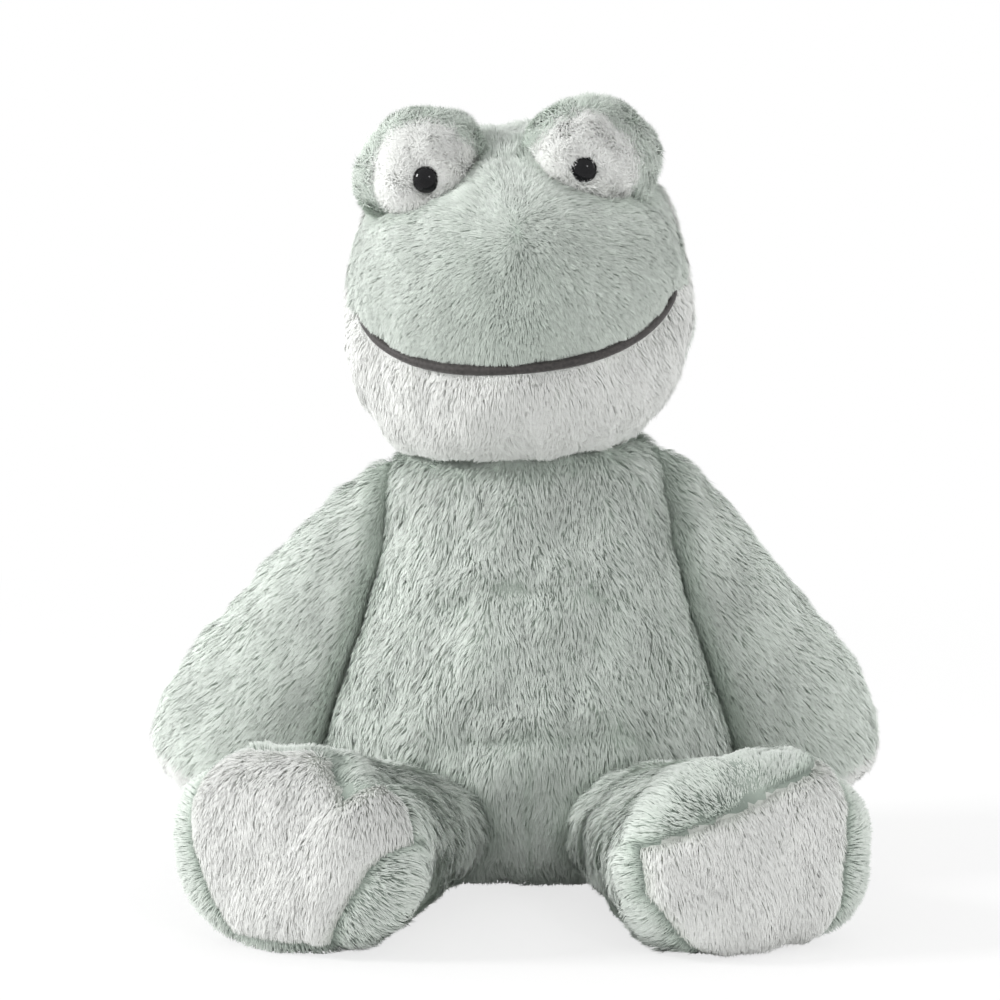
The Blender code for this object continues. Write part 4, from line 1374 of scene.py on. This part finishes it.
# %% Turn the beads
ARC_STEPS, SPIN_STEPS = 14, 48
black = Recipe("bead_black", Roughness=0.06, Specular_IOR_Level=0.22)
haze = black.noise(260.0)
black.feed(
    Base_Color=black.ramp(haze, (0.3, (0.004, 0.004, 0.005)), (0.7, (0.009, 0.009, 0.010))),
    Roughness=0.04 + haze * 0.05,
)
for side in SIDES:
    cad_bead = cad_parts[f"eye_bead_{side}"]
    apex = max((v.co for v in cad_bead.data.vertices), key=lambda co: co.dot(EYE_AXIS)).copy()
    bm = bmesh.new()
    arc = [radians(90 * step / ARC_STEPS) for step in range(ARC_STEPS + 1)]
    section = [(BEAD_RADIUS * sin(a), BEAD_HEIGHT * cos(a)) for a in arc]
    section += [(BEAD_RADIUS - BEAD_EDGE, -BEAD_EDGE), (0, -BEAD_EDGE)]
    verts = [bm.verts.new((r, 0, h)) for r, h in section]
    edges = [bm.edges.new(pair) for pair in zip(verts, verts[1:])]
    bmesh.ops.spin(
        bm,
        geom=verts + edges,
        axis=(0, 0, 1),
        cent=(0, 0, 0),
        angle=tau,
        steps=SPIN_STEPS,
        use_merge=True,
    )
    bmesh.ops.remove_doubles(bm, verts=bm.verts[:], dist=WELD)
    bmesh.ops.recalc_face_normals(bm, faces=bm.faces[:])
    place = Matrix.Translation(apex - EYE_AXIS * BEAD_HEIGHT)
    bm.transform(place @ EYE_AXIS.to_track_quat("Z", "Y").to_matrix().to_4x4())
    bead = placed(f"bead_{side}", mesh_from(f"bead_{side}", bm))
    bead.data.shade_smooth()
    bead.data.materials.append(black.material)
    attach(bead, "head")
    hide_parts(f"eye_bead_{side}")
    print(side, "bead:", len(bead.data.polygons), "faces")

# %% [markdown]
# ## What lies inside
# The filling, the pouch of pellets and the lock washers are hidden, but they are pieces of the
# toy, so they get finishes of their own: matted fibre, plain weave and white plastic.

# %% Finish the hidden pieces
fibre = Recipe("matted_fibre", Roughness=0.95, Sheen_Weight=0.2)
wool = fibre.noise(420.0, 5.0)
fibre.feed(
    Base_Color=fibre.ramp(wool, (0.25, (0.66, 0.66, 0.64)), (0.75, (0.86, 0.86, 0.84))),
    Normal=fibre.bump(wool, 0.001),
)
weave = Recipe("plain_weave", Roughness=0.9)
spot = weave.node("ShaderNodeTexCoord", None, None, OBJECT_SPACE)
warp, weft = (
    weave.node("ShaderNodeTexWave", {"bands_direction": way}, {"Vector": spot, "Scale": 300.0})
    for way in "XZ"
)
threads = (warp + weft) * 0.5
weave.feed(
    Base_Color=weave.ramp(threads, (0.2, (0.48, 0.44, 0.35)), (0.8, (0.72, 0.68, 0.58))),
    Normal=weave.bump(threads, 0.0003),
)
moulded = Recipe("white_moulding", Roughness=0.4)
moulded.feed(
    Base_Color=moulded.ramp(
        moulded.noise(700.0), (0.3, (0.78, 0.78, 0.76)), (0.7, (0.84, 0.84, 0.82))
    )
)
FINISHES = {"filling": fibre, "pouch": weave, "washer": moulded}
for node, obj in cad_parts.items():
    for word, recipe in FINISHES.items():
        if word in node:
            obj.data.materials.clear()
            obj.data.materials.append(recipe.material)

# %% [markdown]
# ## Floor and light
# The photograph is a studio picture on white: one broad soft light high on the left, weaker ones
# on the right and in front, much light from all round, and a floor that is nearly white.

# %% Lay the floor
FLOOR_KEEPS = 0.25  # how much of its shadows the paper keeps near the frog
PAPER_START, PAPER_END = 0.25, 0.7
paper = Recipe("paper", Roughness=0.9, Base_Color=(1, 1, 1, 1))
spot = paper.node("ShaderNodeTexCoord", None, None, OBJECT_SPACE)
distance = paper.node("ShaderNodeVectorMath", {"operation": "LENGTH"}, {0: spot}, 1)
reach = {"Value": distance, "From Min": PAPER_START, "From Max": PAPER_END, "To Min": 1 - FLOOR_KEEPS}
far = paper.node("ShaderNodeMapRange", {"interpolation_type": "SMOOTHSTEP"}, reach)
white = paper.node("ShaderNodeEmission", None, {"Strength": 1.0})
own_light = Thread(paper, paper.shader.outputs[0])
mixed = {0: far * paper.seen_rays(), 1: own_light, 2: white}
paper.put(
    paper.tree.nodes["Material Output"].inputs["Surface"],
    paper.node("ShaderNodeMixShader", None, mixed),
)
bm = bmesh.new()
bmesh.ops.create_grid(bm, x_segments=1, y_segments=1, size=6)
floor = placed("floor", mesh_from("floor", bm))
floor.data.materials.append(paper.material)
floor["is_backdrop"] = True

# %% Light it
AMBIENT_FRONT, AMBIENT_BACK = 0.40, 0.96
FROG_MIDDLE = Vector((0, 0, 0.13))
WHITE = (1, 1, 1, 1)
world = bpy.data.worlds.new("studio")
world.use_nodes = True
bpy.context.scene.world = world
sky = Tree(world.node_tree)
way = sky.node("ShaderNodeTexCoord")
behind = sky.node("ShaderNodeSeparateXYZ", None, {0: way}, 1)
shades = {"Value": behind, "From Min": -1.0, "To Min": AMBIENT_FRONT, "To Max": AMBIENT_BACK}
ambient = sky.node("ShaderNodeMapRange", None, shades)
strength = sky.node("ShaderNodeMix", None, {"Factor": sky.seen_rays(), "A": ambient, "B": 1.0})
background = sky.tree.nodes["Background"]
sky.put(background.inputs["Strength"], strength)
sky.put(background.inputs["Color"], WHITE)


def lamp(name, place, size, watts):
    """A square soft box that looks at the frog."""
    light = bpy.data.lights.new(name, "AREA")
    light.size = size
    light.energy = watts
    stand = placed(name, light)
    stand.location = place
    stand.rotation_euler = (Vector(place) - FROG_MIDDLE).to_track_quat("Z", "Y").to_euler()


lamp("key", (-1.45, -0.35, 0.85), 0.4, 19.0)
lamp("side", (1.5, -0.2, 0.7), 0.5, 4.0)
lamp("fill", (0.5, -1.5, 0.8), 0.25, 3.0)

bpy.context.scene.view_settings.view_transform = "Standard"
made_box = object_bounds()
[[list(corner) for corner in box] for box in (cad_box, made_box)]
print("CAD box", cad_box)
print("made box", made_box)
